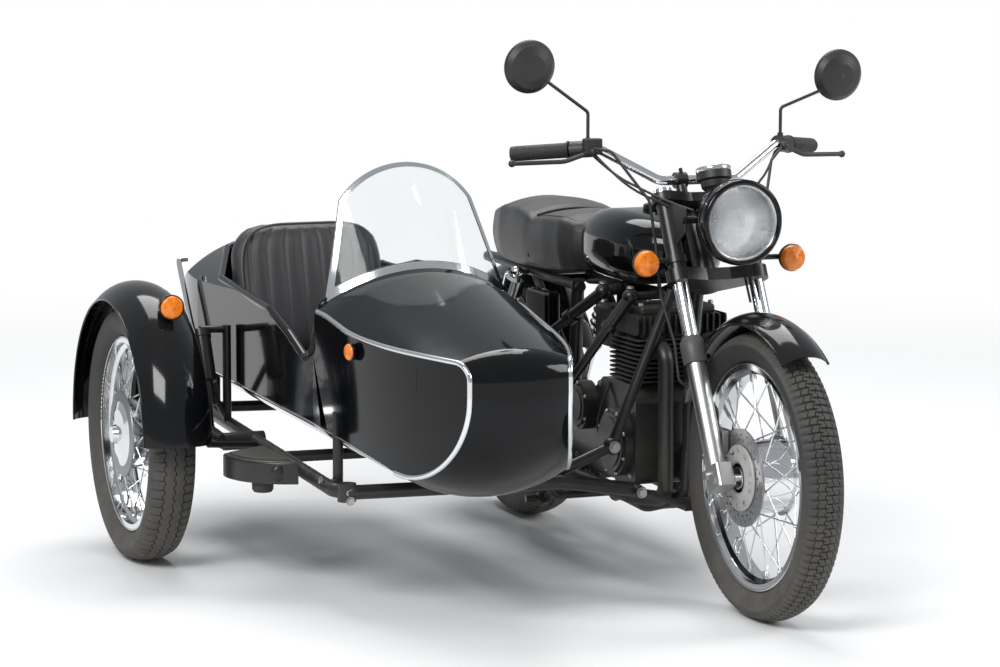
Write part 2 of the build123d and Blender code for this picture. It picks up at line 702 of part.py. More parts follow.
# Switch housings, the brake reservoir on the right, levers with ball ends and mirror bosses
MIRROR_BOSS = 26.0
with BuildPart() as bar_controls:
    for side in (-1, 1):
        inner = bar_place(side * (BAR_SHOULDER + 8))
        outer = bar_place(side * (GRIP_START - 0.5))
        with BuildSketch(Plane(origin=inner, z_dir=outer - inner)):
            Circle(20)
        extrude(amount=(outer - inner).length)
        perch = bar_place(side * (BAR_SHOULDER + 16)) + Vector(0, -26, -4)
        knee = at(side * 310, CLAMP_Y + 66, CLAMP_Z + 46)
        tip = at(side * 430, CLAMP_Y + 98, CLAMP_Z + 42)
        add(rod(bar_place(side * (BAR_SHOULDER + 16)), perch, 9))
        add(tube([perch, knee, tip], 5.5, 60))
        add(ball(perch, 11))
        add(ball(tip, 8.5))
        boss = bar_place(side * (BAR_SHOULDER + 18))
        add(rod(boss, boss + Vector(0, 0, MIRROR_BOSS), 7))
    reservoir = bar_place(-(BAR_SHOULDER + 18)) + Vector(0, -16, 0)
    add(block(reservoir + Vector(-20, -18, -12), reservoir + Vector(24, 6, 26), 4))
    add(handlebar, mode=Mode.SUBTRACT)
save(bar_controls.part, "bar_controls")

mirror_table = [
    # side, centre of the glass: across, along, up
    (-1, -412, 395, 1245),
    (1, 402, 430, 1210),
]
with BuildPart() as mirrors:
    for side, x, y, z in mirror_table:
        centre = at(x, y, z)
        foot = bar_place(side * (BAR_SHOULDER + 18)) + Vector(0, 0, MIRROR_BOSS)
        elbow = foot + Vector(0, 0, 60)
        neck = centre + Vector(-side * 44, 8, -34)
        add(tube([foot, elbow, neck], MIRROR_STEM_RADIUS, 12))
        add(rod(neck, centre + Vector(0, 4, 0), 7))
        shell = [(0, -16), (30, -14), (50, -7), (MIRROR_RADIUS - 2, 4), (MIRROR_RADIUS, 12), (0, 12)]
        add(spun(centre, (0, 1, 0.1), shell))
save(mirrors.part, "mirrors")

with BuildPart() as front_signals:
    for side in (-1, 1):
        ring = fork(side * (FORK_HALF + COVER_RADIUS + 3.5), LOWER_YOKE + LOWER_YOKE_THICK + 25)
        stalk_y = ring.Y - AXLE_Y
        add(rod(ring, at(side * SIGNAL_HALF, stalk_y - 20, SIGNAL_Z), 7))
        shell = [(0, 0), (16, 0), (SIGNAL_RADIUS - 4, 14), (SIGNAL_RADIUS, 26), (SIGNAL_RADIUS, 34)]
        shell += [(SIGNAL_RADIUS - 2, 38), (SIGNAL_RADIUS * 0.6, 52), (0, 56)]
        add(spun(at(side * SIGNAL_HALF, stalk_y, SIGNAL_Z), (0, -1, 0), shell))
    add(fork_covers.part, mode=Mode.SUBTRACT)
save(front_signals.part, "front_signals")

# Brake hose and clutch cable, held by the lever, the yoke and the leg
HOSE_RADIUS = 3.5
with BuildPart() as control_cables:
    hose_top = reservoir + Vector(0, -18.5, 4)
    hose = [
        hose_top,
        hose_top + Vector(30, -34, -6),
        at(-150, CLAMP_Y - 60, CLAMP_Z - 40),
        at(-136, CLAMP_Y - 66, LAMP_Z - 60),
        fork(-136, LOWER_YOKE - 20, 34),
        fork(-124, SLIDER_TOP + 30, 34),
        fork(-126, SLIDER_TOP - 60, 46),
        at(CALIPER_OUT + 10, 188, CALIPER_Z + 132),
        at(CALIPER_OUT + 10, 112, CALIPER_Z + 96),
        at(CALIPER_OUT + 10, 110, CALIPER_Z + 54 + FIT_GAP),
    ]
    add(tube(hose, HOSE_RADIUS, 20))
    cable_top = bar_place(BAR_SHOULDER + 16) + Vector(-12, -32, -8)
    cable = [
        cable_top,
        cable_top + Vector(-40, -30, -26),
        at(150, CLAMP_Y - 60, CLAMP_Z - 44),
        at(124, CLAMP_Y - 84, LAMP_Z + 4),
        fork(128, LOWER_YOKE + LOWER_YOKE_THICK + 60, 8),
    ]
    add(tube(cable, HOSE_RADIUS, 20))
    add(bar_controls.part, mode=Mode.SUBTRACT)
save(control_cables.part, "control_cables")

# Frame: a spine and one down tube that parts into two cradle tubes, tied back to the rear loop
HEAD_LOW = LOWER_YOKE + LOWER_YOKE_THICK + HEAD_GAP
HEAD_HIGH = UPPER_YOKE - HEAD_GAP
STRUT_TOPS = [
    # along, up, post radius
    (500.0, 690.0, 10.0),
    (665.0, 684.0, 10.0),
]
STRUT_TOP_X = -104.0
LOOP_HALF = 86.0
RAIL_HALF = 90.0
RAIL_END_Y = WHEELBASE + 42.0
SHOCK_TOP_Y = WHEELBASE - 262.0
SHOCK_TOP_Z = 680.0
BRACE_TOP = at(-46, 404, 712)
BRACE_FOOT = at(-196, 412, 347)
JOINT_Y = 398.0
JOINT_Z = 242.0
with BuildPart() as frame:
    add(tube([fork(0, 600, STEM_OFFSET), at(0, 470, 775), at(0, 860, 692), at(0, 1000, 680)], SPINE_TUBE, 60))
    add(tube([fork(0, HEAD_LOW + 30, STEM_OFFSET), at(0, 430, 692), at(0, 880, 680)], 12, 40))
    for y, z, radius in STRUT_TOPS:
        add(rod(at(STRUT_TOP_X, y, z), at(0, y, z), radius))
        add(rod(at(-52, y, z), at(-6, y, z + 18), radius))
    add(tube([fork(0, HEAD_LOW + 40, STEM_OFFSET + 22), at(0, 397, 560), at(0, 397, 300)], 18, 60))
    for side in (-1, 1):
        half = side * CRADLE_HALF
        cradle = [
            at(side * 4, 397, 330),
            at(side * 10, 397, 215),
            at(half, 478, 185),
            at(half, 850, 200),
            at(side * LOOP_HALF, 900, 400),
            at(side * LOOP_HALF, 880, 690),
        ]
        add(tube(cradle, MAIN_TUBE, 40))
        rail = [
            at(side * LOOP_HALF, 860, 672),
            at(side * RAIL_HALF, SHOCK_TOP_Y + 10, 680),
            at(side * RAIL_HALF, RAIL_END_Y, 690),
        ]
        add(tube(rail, 13, 60))
        add(rod(at(side * LOOP_HALF, 900, 450), at(side * RAIL_HALF, SHOCK_TOP_Y - 20, 670), 11))
        add(rod(at(side * 71, STAND_Y + 4, STAND_Z), at(side * 74, 850, 200), 9))
        for y, top in ((600, 240), (790, 240)):
            add(rod(at(half, y, 195), at(half, y, top), 14))
        shock_pin = at(side * RAIL_HALF, SHOCK_TOP_Y, SHOCK_TOP_Z)
        add(rod(shock_pin, shock_pin + Vector(side * 64, 0, 0), 6))
        peg = [
            at(side * 70, 720, 178),
            at(side * 215, 720, 178),
            at(side * 236, 720, 282),
            at(side * 300, 720, 286),
        ]
        add(tube(peg, 10, 16))
    add(rod(at(-72, STAND_Y, STAND_Z), at(72, STAND_Y, STAND_Z), STAND_PIN))
    for y, z, half in (
        (480, 185, CRADLE_HALF),
        (850, 200, CRADLE_HALF),
        (1000, 678, LOOP_HALF),
        (SHOCK_TOP_Y, 680, RAIL_HALF),
        (RAIL_END_Y - 14, 689, RAIL_HALF),
    ):
        add(rod(at(-half, y, z), at(half, y, z), 11))
    add(block(at(-34, 342, 192), at(-4, 402, 218)))
    add(rod(BRACE_TOP, at(-8, 396, 690), 12))
    with BuildSketch(fork_plane(HEAD_LOW, STEM_OFFSET)):
        Circle(HEAD_RADIUS)
    extrude(amount=HEAD_HIGH - HEAD_LOW)
    with BuildSketch(fork_plane(HEAD_LOW - 1, STEM_OFFSET)):
        Circle(STEM_RADIUS + FIT_GAP)
    extrude(amount=HEAD_HIGH - HEAD_LOW + 2, mode=Mode.SUBTRACT)
save(frame.part, "frame")

# Engine: crankcase with its round covers
CASE_TOP = CYLINDER_LOW
with BuildPart() as crankcase:
    with BuildSketch(side_plane(0)):
        with BuildLine():
            Polyline(
                (445, 240),
                (445, 440),
                (480, CASE_TOP),
                (640, CASE_TOP),
                (700, 440),
                (835, 420),
                (835, 240),
                close=True,
            )
        make_face()
    extrude(amount=CASE_HALF, both=True)
    fillet(crankcase.edges().filter_by(Axis.X), 25)
    for side, y, z, radius, proud in (
        (-1, 535, 335, 82, 26),
        (-1, 728, 398, 60, 34),
        (1, 535, 340, 84, 26),
        (1, 700, 330, 70, 20),
    ):
        face = Plane(origin=at(side * (CASE_HALF - 4), y, z), x_dir=(0, 1, 0), z_dir=(side, 0, 0))
        with BuildSketch(face):
            Circle(radius)
        extrude(amount=proud)
        with BuildSketch(face):
            Circle(radius - 10)
        extrude(amount=proud + 6)
        with BuildSketch(face):
            Circle(radius - 22)
        extrude(amount=proud + 9)
    add(rod(at(0, 478, 300), at(0, 424, 300), 34))
save(crankcase.part, "crankcase")

# Cylinders: level fins round both barrels, upright fins on the head, a plain cover on top
with BuildPart() as cylinders:
    with BuildSketch(top_plane(CYLINDER_LOW + FIT_GAP)):
        with Locations((-58, CYLINDER_Y), (58, CYLINDER_Y)):
            Circle(48)
        with Locations((0, CYLINDER_Y)):
            Rectangle(116, 90)
    extrude(amount=HEAD_LOW_Z - CYLINDER_LOW)
    for row in range(FIN_COUNT):
        with BuildSketch(top_plane(CYLINDER_LOW + 8 + row * FIN_PITCH)):
            with Locations((0, CYLINDER_Y)):
                RectangleRounded(2 * FIN_HALF, 172, 18)
        extrude(amount=FIN_THICK)
    with BuildSketch(top_plane(HEAD_LOW_Z - 6)):
        with Locations((0, CYLINDER_Y)):
            RectangleRounded(2 * FIN_HALF - 30, 142, 14)
    extrude(amount=HEAD_TOP_Z - HEAD_LOW_Z + 4)
    for count in range(HEAD_FINS):
        x = (count - (HEAD_FINS - 1) / 2) * HEAD_FIN_PITCH
        with BuildSketch(side_plane(x - HEAD_FIN_THICK / 2)):
            with Locations((CYLINDER_Y, (HEAD_LOW_Z + HEAD_TOP_Z) / 2)):
                RectangleRounded(170, HEAD_TOP_Z - HEAD_LOW_Z - 2, 8)
        extrude(amount=HEAD_FIN_THICK)
    cover_low = at(-FIN_HALF + 22, CYLINDER_Y - 62, HEAD_TOP_Z - 4)
    cover_high = at(FIN_HALF - 22, CYLINDER_Y + 62, HEAD_TOP_Z + 20)
    add(block(cover_low, cover_high, 9))
    for side in (-1, 1):
        port = side * HEADER_HALF
        add(rod(at(port, CYLINDER_Y - 60, HEADER_TOP), at(port, CYLINDER_Y - 92, HEADER_TOP), 27))
        add(rod(at(side * 45, CYLINDER_Y + 60, 590), at(side * 45, CYLINDER_Y + 110, 590), 20))
        add(rod(at(side * 45, CYLINDER_Y + 108, 590), at(side * 45, CYLINDER_Y + 170, 590), 27))
        add(rod(at(side * 45, CYLINDER_Y + 139, 540), at(side * 45, CYLINDER_Y + 139, 628), 24))
    add(block(at(-80, CYLINDER_Y + 168, 540), at(80, CYLINDER_Y + 260, 640), 10))
save(cylinders.part, "cylinders")

# Exhausts: two header pipes that bend down ahead of the case and run back to long silencers
with BuildPart() as exhausts:
    for side in (-1, 1):
        header = [
            at(side * HEADER_HALF, CYLINDER_Y - 92.3, HEADER_TOP),
            at(side * HEADER_HALF, HEADER_Y - 16, HEADER_TOP),
            at(side * 66, HEADER_Y - 16, 214),
            at(side * 112, 500, 210),
            at(side * SILENCER_HALF, 800, 225),
        ]
        add(tube(header, HEADER_RADIUS, 34))
        run = (0, 1, 0.05)
        profile = [
            (0, 0),
            (HEADER_RADIUS + 7, 0),
            (SILENCER_RADIUS, 70),
            (SILENCER_RADIUS, 800),
            (SILENCER_RADIUS - 12, 860),
            (SILENCER_RADIUS - 14, 880),
            (SILENCER_RADIUS - 18, 880),
            (SILENCER_RADIUS - 18, 820),
            (0, 820),
        ]
        add(spun(at(side * SILENCER_HALF, 790, 224.5), run, profile))
save(exhausts.part, "exhausts")

# Tank, carried over the spine, and its filler cap
TANK_NOSE_Y = fork(0, UPPER_YOKE, STEM_OFFSET).Y - AXLE_Y + 24.0
tank_sections = [
    # along, half width, low, high
    (TANK_NOSE_Y, 66, 738, 848),
    (520, 132, 715, 879),
    (650, 141, 712, 886),
    (780, 120, 712, 870),
    (850, 82, 715, 842),
]
with BuildPart() as fuel_tank:
    for y, half, low, high in tank_sections:
        with BuildSketch(front_plane(y)):
            with Locations((0, (low + high) / 2)):
                RectangleRounded(2 * half, high - low, min(half, (high - low) / 2) * 0.85)
    loft()
    add(spun(at(0, 600, 878), (0, 0, 1), [(0, 0), (32, 0), (34, 10), (32, 20), (24, 23), (0, 24)]))
    for side in (-1, 1):
        add(rod(at(side * 84, 560, 800), at(side * 137.5, 560, 800), 19))
    add(block(at(-26, TANK_NOSE_Y - 30, 690), at(26, 880, 802)), mode=Mode.SUBTRACT)
    add(block(at(-26, TANK_NOSE_Y - 30, 690), at(26, 520, 836)), mode=Mode.SUBTRACT)
save(fuel_tank.part, "fuel_tank")

# Seat, on the rails and the rear loop
SEAT_FRONT = 850.4
SEAT_END = WHEELBASE - 8.0
SEAT_LOW = 713.8
with BuildPart() as seat:
    with BuildSketch(side_plane(0)):
        with BuildLine():
            Line((SEAT_FRONT, SEAT_LOW), (SEAT_FRONT, 826))
            Line((SEAT_FRONT, 826), (940, 846))
            ThreePointArc((940, 846), (1010, 848), (1080, 836))
            Line((1080, 836), (SEAT_END - 40, 826))
            ThreePointArc((SEAT_END - 40, 826), (SEAT_END - 12, 816), (SEAT_END, 790))
            Line((SEAT_END, 790), (SEAT_END - 6, SEAT_LOW))
            Line((SEAT_END - 6, SEAT_LOW), (SEAT_FRONT, SEAT_LOW))
        make_face()
    extrude(amount=130, both=True)
    with BuildSketch(top_plane(SEAT_LOW - 1)):
        with BuildLine():
            for side in (-1, 1):
                Line((0, SEAT_FRONT), (side * 90, SEAT_FRONT))
                Line((side * 90, SEAT_FRONT), (side * 128, 1000))
                Line((side * 128, 1000), (side * 124, SEAT_END - 50))
                ThreePointArc((side * 124, SEAT_END - 50), (side * 108, SEAT_END - 14), (side * 70, SEAT_END))
                Line((side * 70, SEAT_END), (0, SEAT_END))
        make_face()
    extrude(amount=SEAT_END, mode=Mode.INTERSECT)
save(seat.part, "seat")

with BuildPart() as side_boxes:
    for side in (-1, 1):
        add(block(at(side * 125 - 20, 945, 505), at(side * 125 + 20, 1085, 650), 10))
        add(rod(at(side * 100, 1000, 578), at(side * 128, 1000, 578), 8))
save(side_boxes.part, "side_boxes")

with BuildPart() as rear_mudguard:
    add(mudguard(REAR_AXLE, REAR_GUARD_RADIUS, REAR_GUARD_HALF, 40.0, 62.0, 92.0))
    for side in (-1, 1):
        tie = at(side * 40, WHEELBASE - 70, REAR_TYRE_RADIUS + REAR_GUARD_RADIUS - 30)
        add(rod(tie, at(side * 60, WHEELBASE - 70, 688), 9))
    add(frame.part, mode=Mode.SUBTRACT)
    add(seat.part, mode=Mode.SUBTRACT)
save(rear_mudguard.part, "rear_mudguard")

# Rear lamp on the guard, its signals on a bar, and the plate bracket under it
LAMP_REAR_Y = WHEELBASE + 307.0
with BuildPart() as rear_lamps:
    with BuildSketch(front_plane(LAMP_REAR_Y)):
        with Locations((0, 562)):
            RectangleRounded(120, 70, 20)
    extrude(amount=-60)
    add(rod(at(0, LAMP_REAR_Y - 45, 560), at(0, LAMP_REAR_Y + 5, 560), 24))
    add(rod(at(-140, LAMP_REAR_Y + 14, 570), at(140, LAMP_REAR_Y + 14, 570), 7))
    for side in (-1, 1):
        shell = [(0, 0), (16, 0), (28, 14), (SIGNAL_RADIUS, 26), (SIGNAL_RADIUS, 36), (20, 50), (0, 54)]
        add(spun(at(side * 140, LAMP_REAR_Y - 8, 570), (0, 1, 0), shell))
    add(block(at(-90, LAMP_REAR_Y + 46, 470), at(90, LAMP_REAR_Y + 49, 540)))
    add(block(at(-20, LAMP_REAR_Y + 20, 500), at(20, LAMP_REAR_Y + 47, 530)))
    for side in (-1, 1):
        hole_front = at(side * PLATE_HALF, LAMP_REAR_Y + 40, PLATE_Z)
        add(rod(hole_front, hole_front + Vector(0, 15, 0), PLATE_HOLE), mode=Mode.SUBTRACT)
    with BuildSketch(Plane(origin=at(*REAR_AXLE), z_dir=(1, 0, 0))):
        Circle(REAR_GUARD_RADIUS)
    extrude(amount=100, both=True, mode=Mode.SUBTRACT)
save(rear_lamps.part, "rear_lamps")

# Swing arm with its axle, shock pins and the chain's case on the left
with BuildPart() as swing_arm:
    for side in (-1, 1):
        arm = [
            at(side * 48, SWING_Y + 10, SWING_Z),
            at(side * SWING_HALF, SWING_Y + 155, SWING_Z - 3),
            at(side * SWING_HALF, WHEELBASE + 20, REAR_TYRE_RADIUS),
        ]
        add(tube(arm, 16, 60))
        shock_pin = at(side * SWING_HALF, WHEELBASE - 48, REAR_TYRE_RADIUS + 8)
        add(rod(shock_pin, shock_pin + Vector(side * 52, 0, 20), 6))
        nut = at(side * (SWING_HALF + 10), WHEELBASE, REAR_TYRE_RADIUS)
        add(rod(nut, nut + Vector(side * 20, 0, 0), 15))
    add(rod(at(-65, SWING_Y, SWING_Z), at(65, SWING_Y, SWING_Z), 20))
    axle_start = at(-SWING_HALF - 30, WHEELBASE, REAR_TYRE_RADIUS)
    add(rod(axle_start, axle_start + Vector(2 * SWING_HALF + 60, 0, 0), AXLE_RADIUS))
save(swing_arm.part, "swing_arm")

with BuildPart() as rear_shocks:
    for side in (-1, 1):
        low = at(side * (SWING_HALF + 40), WHEELBASE - 48, REAR_TYRE_RADIUS + 24)
        top = at(side * (RAIL_HALF + 46), SHOCK_TOP_Y, SHOCK_TOP_Z)
        reach = (top - low).length
        add(ball(low, 16))
        add(ball(top, 16))
        body = [(0, 10), (14, 10), (14, reach * 0.34), (24, reach * 0.34), (24, reach * 0.34 + 8)]
        coils = 9
        pitch = (reach * 0.62 - 60) / coils
        for turn in range(coils):
            foot = reach * 0.34 + 8 + turn * pitch
            body += [(20, foot + pitch * 0.2), (24.5, foot + pitch * 0.5), (20, foot + pitch * 0.8)]
        body += [(20, reach - 70), (28, reach - 66), (28, reach - 14), (20, reach - 8), (0, reach - 8)]
        add(spun(low, top - low, body))
    add(swing_arm.part, mode=Mode.SUBTRACT)
    add(frame.part, mode=Mode.SUBTRACT)
save(rear_shocks.part, "rear_shocks")


# Sidecar hull: runs and bends of one crowned section round the side outline, over a flat core,
# all cut to the outline seen from above
def side_corners(inset):
    """The side outline's corners with their bend radii, drawn in by an inset, tail to nose and back."""
    return [
        # along, up, bend radius
        (TAIL_Y - 5 - inset, TAIL_MID_Z, 0),
        (TAIL_Y - 10 - inset, 652 - inset, 60),
        (1720, COAMING_Z - 20 - inset, 150 - inset),
        (COWL_Y + 20, COWL_Z - inset, 600 - inset),
        (NOSE_Y + inset, 645 - inset, NOSE_ROUND - inset),
        (NOSE_Y + inset, BELLY_Z + inset, CHIN_ROUND - inset),
        (STERN_Y, STERN_Z + inset, STERN_ROUND - inset),
        (TAIL_Y - inset, 520 + inset, 60),
        (TAIL_Y - 5 - inset, TAIL_MID_Z, 0),
    ]


def crowned_run(start, end, crown):
    """A straight length of the crowned section between two places of the side outline."""
    run = end - start
    drop = crown - sqrt(crown**2 - WRAP_HALF**2)
    plane = Plane(origin=at(TUB_X, start.X, start.Y), x_dir=(1, 0, 0), z_dir=(0, run.X, run.Y))
    with BuildPart() as slab:
        with BuildSketch(plane):
            with BuildLine():
                ThreePointArc((-WRAP_HALF, -drop), (0, 0), (WRAP_HALF, -drop))
                Line((WRAP_HALF, -drop), (WRAP_HALF, -WRAP_DEPTH))
                Line((WRAP_HALF, -WRAP_DEPTH), (-WRAP_HALF, -WRAP_DEPTH))
                Line((-WRAP_HALF, -WRAP_DEPTH), (-WRAP_HALF, -drop))
            make_face()
        extrude(amount=run.length)
    return slab.part


def crowned_bend(start, heading, bend, turn, crown):
    """The crowned section turned round a bend of the side outline, as deep as the bend's centre."""
    drop = crown - sqrt(crown**2 - WRAP_HALF**2)
    half = WRAP_HALF
    plane = Plane(origin=at(TUB_X, start.X, start.Y), x_dir=(1, 0, 0), z_dir=(0, heading.X, heading.Y))
    if bend <= drop:
        half = sqrt(crown**2 - (crown - bend) ** 2)
        drop = bend
    with BuildPart() as wedge:
        with BuildSketch(plane):
            with BuildLine():
                ThreePointArc((-half, -drop), (0, 0), (half, -drop))
                if bend > drop:
                    Line((half, -drop), (half, -bend))
                    Line((-half, -bend), (-half, -drop))
                Line((half, -bend), (-half, -bend))
            make_face()
        revolve(axis=Axis(plane.from_local_coords((0, -bend, 0)), (1, 0, 0)), revolution_arc=turn)
    return wedge.part


def crowned(inset):
    """The whole crowned form, wider than the hull, before it is cut to the outline from above."""
    crown = CROWN - inset
    corners = side_corners(inset)
    points = [Vector(y, z) for y, z, _ in corners]
    depth = inset + WRAP_DEPTH * 0.92
    core = [(y, z) for y, z, _ in side_corners(depth)[2:7]] + [(TAIL_Y - depth, TAIL_MID_Z)]
    with BuildPart() as form:
        with BuildSketch(side_plane(TUB_X - WRAP_HALF)):
            Polygon(*core, align=None)
        extrude(amount=2 * WRAP_HALF)
        here = points[0]
        for index in range(1, len(points) - 1):
            corner = points[index]
            before = (points[index - 1] - corner).normalized()
            after = (points[index + 1] - corner).normalized()
            opening = before.get_angle(after)
            bend = corners[index][2]
            cut = bend / tan(radians(opening / 2))
            start = corner + before * cut
            add(crowned_run(here, start, crown))
            add(crowned_bend(start, before * -1, bend, 180 - opening, crown))
            here = corner + after * cut
        add(crowned_run(here, points[-1], crown))
    return form.part


def plan(inset):
    """The outline seen from above, as a tall solid: open ahead of the nose, the tail drawn in a little."""
    nose_half = 118 - inset
    ahead_y = NOSE_Y - 60
    full = TUB_HALF - inset
    tail_half = TUB_HALF - 60 - inset
    tail_y = TAIL_Y - inset
    with BuildPart() as prism:
        with BuildSketch(top_plane(200)):
            with BuildLine():
                for side in (-1, 1):
                    corner = (TUB_X + side * nose_half, NOSE_Y + 22)
                    shoulder = (TUB_X + side * (full - 10), 400)
                    waist = (TUB_X + side * full, 620)
                    hip = (TUB_X + side * full, 1560)
                    stern = (TUB_X + side * tail_half, tail_y)
                    Line((TUB_X, ahead_y), (TUB_X + side * nose_half, ahead_y))
                    Line((TUB_X + side * nose_half, ahead_y), corner)
                    ThreePointArc(corner, (TUB_X + side * (206 - inset), 200), shoulder)
                    Line(shoulder, waist)
                    Line(waist, hip)
                    ThreePointArc(hip, (TUB_X + side * (TUB_HALF - 20 - inset), 1740), stern)
                    Line(stern, (TUB_X, tail_y))
            make_face()
        extrude(amount=700)
    return prism.part


def hull(inset):
    """The closed hull, or the form drawn in or grown by an inset from its faces."""
    with BuildPart() as body:
        add(crowned(inset))
        add(plan(inset), mode=Mode.INTERSECT)
    return body.part


closed_hull = hull(0)
hull_cavity = hull(TUB_WALL)
hull_clear = hull(-FIT_GAP)
SIDE_FACE = TUB_X - TUB_HALF
outer_rim = [
    # along, up: the cockpit's edge on the outer side
    (596, 800),
    (600, 690),
    (622, 580),
    (680, 556),
    (800, 600),
    (950, 640),
    (1400, 666),
    (1640, 716),
    (1668, 800),
]
inner_rim = [
    # along, up: the cockpit's edge on the side of the motorcycle
    (596, 800),
    (606, 700),
    (640, 684),
    (1500, 684),
    (1640, 716),
    (1668, 800),
]


def rim_place(side, y, z):
    """A place on the crowned deck or the side wall where the cockpit's edge crosses it."""
    deck = COWL_Z + (COAMING_Z - 20 - COWL_Z) * (y - COWL_Y - 20) / (1720 - COWL_Y - 20)
    drop = max(deck - z, 0)
    reach = min(TUB_HALF, sqrt(2 * CROWN * drop - drop**2))
    return at(TUB_X + side * (reach - 2), y, z)


def cockpit_bead(radius):
    """The rolled edge round the cockpit, two runs that meet in the middle."""
    with BuildPart() as bead:
        for rim, side in ((outer_rim, -1), (inner_rim, 1)):
            edge = [rim_place(side, y, z) for y, z in rim[1:-1]]
            front = [at(TUB_X, 598, 778), at(TUB_X + side * 130, 599, 752)]
            rear = [at(TUB_X + side * 80, 1647, 737), at(TUB_X, 1650, 746)]
            add(tube(front + edge + rear, radius, 18))
    return bead.part


with BuildPart() as sidecar_hull:
    add(closed_hull)
    add(hull_cavity, mode=Mode.SUBTRACT)
    for rim, start_x in ((outer_rim, SIDE_FACE - 10), (inner_rim, TUB_X)):
        with BuildSketch(side_plane(start_x)):
            Polygon(*rim, align=None)
        extrude(amount=TUB_HALF + 10, mode=Mode.SUBTRACT)
    add(cockpit_bead(BEAD_RADIUS))
save(sidecar_hull.part, "sidecar_hull")

# Bright strips along the hull's upper and lower edges ahead of the cockpit, and the rear rail
with BuildPart() as hull_trim:
    add(hull(-TRIM_PROUD))
    add(hull_clear, mode=Mode.SUBTRACT)
    add(plan(TRIM_WIDTH), mode=Mode.SUBTRACT)
    add(crowned(TRIM_WIDTH), mode=Mode.SUBTRACT)
    add(block(at(TUB_X - 300, 586, 200), at(TUB_X + 300, 2000, 900)), mode=Mode.SUBTRACT)
    add(block(at(TUB_X - 300, 130, 200), at(TUB_X + 300, 2000, 480)), mode=Mode.SUBTRACT)
    rail_x = SIDE_FACE - 22
    grab = [
        at(SIDE_FACE + 4, 1664, 690),
        at(rail_x, 1660, 690),
        at(rail_x, 1530, 512),
        at(SIDE_FACE + 4, 1526, 512),
    ]
    add(tube(grab, 7, 12))
    add(hull_clear, mode=Mode.SUBTRACT)
save(hull_trim.part, "hull_trim")


# Windscreen: a bowed sheet leaning back, cut to an arch, with a bright frame round it
def screen_sheet(sheet, grow):
    """The bowed sheet up from inside the hull, cut by an arch that is smaller by an inset."""
    foot_y = SCREEN_FOOT_Y - (COWL_Z - SCREEN_FOOT_Z) * tan(radians(SCREEN_LEAN))
    top = SCREEN_TOP_Z - grow
    half = SCREEN_HALF - grow
    high = SCREEN_TOP_HALF - grow
    with BuildPart() as pane:
        with BuildSketch(top_plane(SCREEN_FOOT_Z)):
            with Locations((TUB_X, foot_y + SCREEN_BOW)):
                Circle(SCREEN_BOW + sheet / 2)
                Circle(SCREEN_BOW - sheet / 2, mode=Mode.SUBTRACT)
            with Locations((TUB_X, foot_y + SCREEN_BOW * 1.75)):
                Rectangle(3 * SCREEN_BOW, 2 * SCREEN_BOW, mode=Mode.SUBTRACT)
        extrude(amount=460, dir=(0, sin(radians(SCREEN_LEAN)), cos(radians(SCREEN_LEAN))))
        with BuildSketch(front_plane(0)):
            with BuildLine():
                Line((TUB_X - half, SCREEN_FOOT_Z), (TUB_X + half, SCREEN_FOOT_Z))
                Line((TUB_X + half, SCREEN_FOOT_Z), (TUB_X + high, SCREEN_SHOULDER_Z))
                arch = [(TUB_X + high, SCREEN_SHOULDER_Z), (TUB_X, top), (TUB_X - high, SCREEN_SHOULDER_Z)]
                ThreePointArc(*arch)
                Line((TUB_X - high, SCREEN_SHOULDER_Z), (TUB_X - half, SCREEN_FOOT_Z))
            make_face()
        extrude(amount=-1200, mode=Mode.INTERSECT)
    return pane.part


with BuildPart() as windscreen:
    add(screen_sheet(SCREEN_SHEET, SCREEN_FRAME))
    add(hull(-SCREEN_FRAME - TRIM_PROUD), mode=Mode.SUBTRACT)
save(windscreen.part, "windscreen")

with BuildPart() as screen_gap:
    add(screen_sheet(SCREEN_STRIP + 3, SCREEN_FRAME))
    add(hull(-SCREEN_FRAME - TRIM_PROUD), mode=Mode.SUBTRACT)

with BuildPart() as windscreen_frame:
    add(screen_sheet(SCREEN_STRIP, 0.0))
    add(screen_gap.part, mode=Mode.SUBTRACT)
    add(hull_clear, mode=Mode.SUBTRACT)
    add(hull_trim.part, mode=Mode.SUBTRACT)
    add(cockpit_bead(BEAD_RADIUS + FIT_GAP), mode=Mode.SUBTRACT)
save(windscreen_frame.part, "windscreen_frame")

# Seat: a cushion and a leaning backrest, as the hull's inside lets them sit
SEAT_HALF = 222.0
BACK_HALF = 190.0
with BuildPart() as seat_inside:
    with BuildSketch(side_plane(TUB_X - SEAT_HALF)):
        with BuildLine():
            Polyline((860, 300), (866, 452), (900, 468), (1290, 440), (1290, 300), close=True)
        make_face()
    extrude(amount=2 * SEAT_HALF)
    with BuildSketch(side_plane(TUB_X - BACK_HALF)):
        with BuildLine():
            Polyline(
                (1280, 320),
                (1290, 438),
                (1388, 780),
                (1420, 802),
                (1480, 802),
                (1500, 780),
                (1430, 320),
                close=True,
            )
        make_face()
    extrude(amount=2 * BACK_HALF)
    add(hull(TUB_WALL + FIT_GAP), mode=Mode.INTERSECT)

with BuildPart() as sidecar_seat:
    add(seat_inside.part)
    with BuildSketch(side_plane(TUB_X - BACK_HALF)):
        with BuildLine():
            Polyline((1358, 690), (1388, 780), (1420, 802), (1480, 802), (1500, 780), (1490, 690), close=True)
        make_face()
    extrude(amount=2 * BACK_HALF)
    add(sidecar_hull.part, mode=Mode.SUBTRACT)
save(sidecar_seat.part, "sidecar_seat")

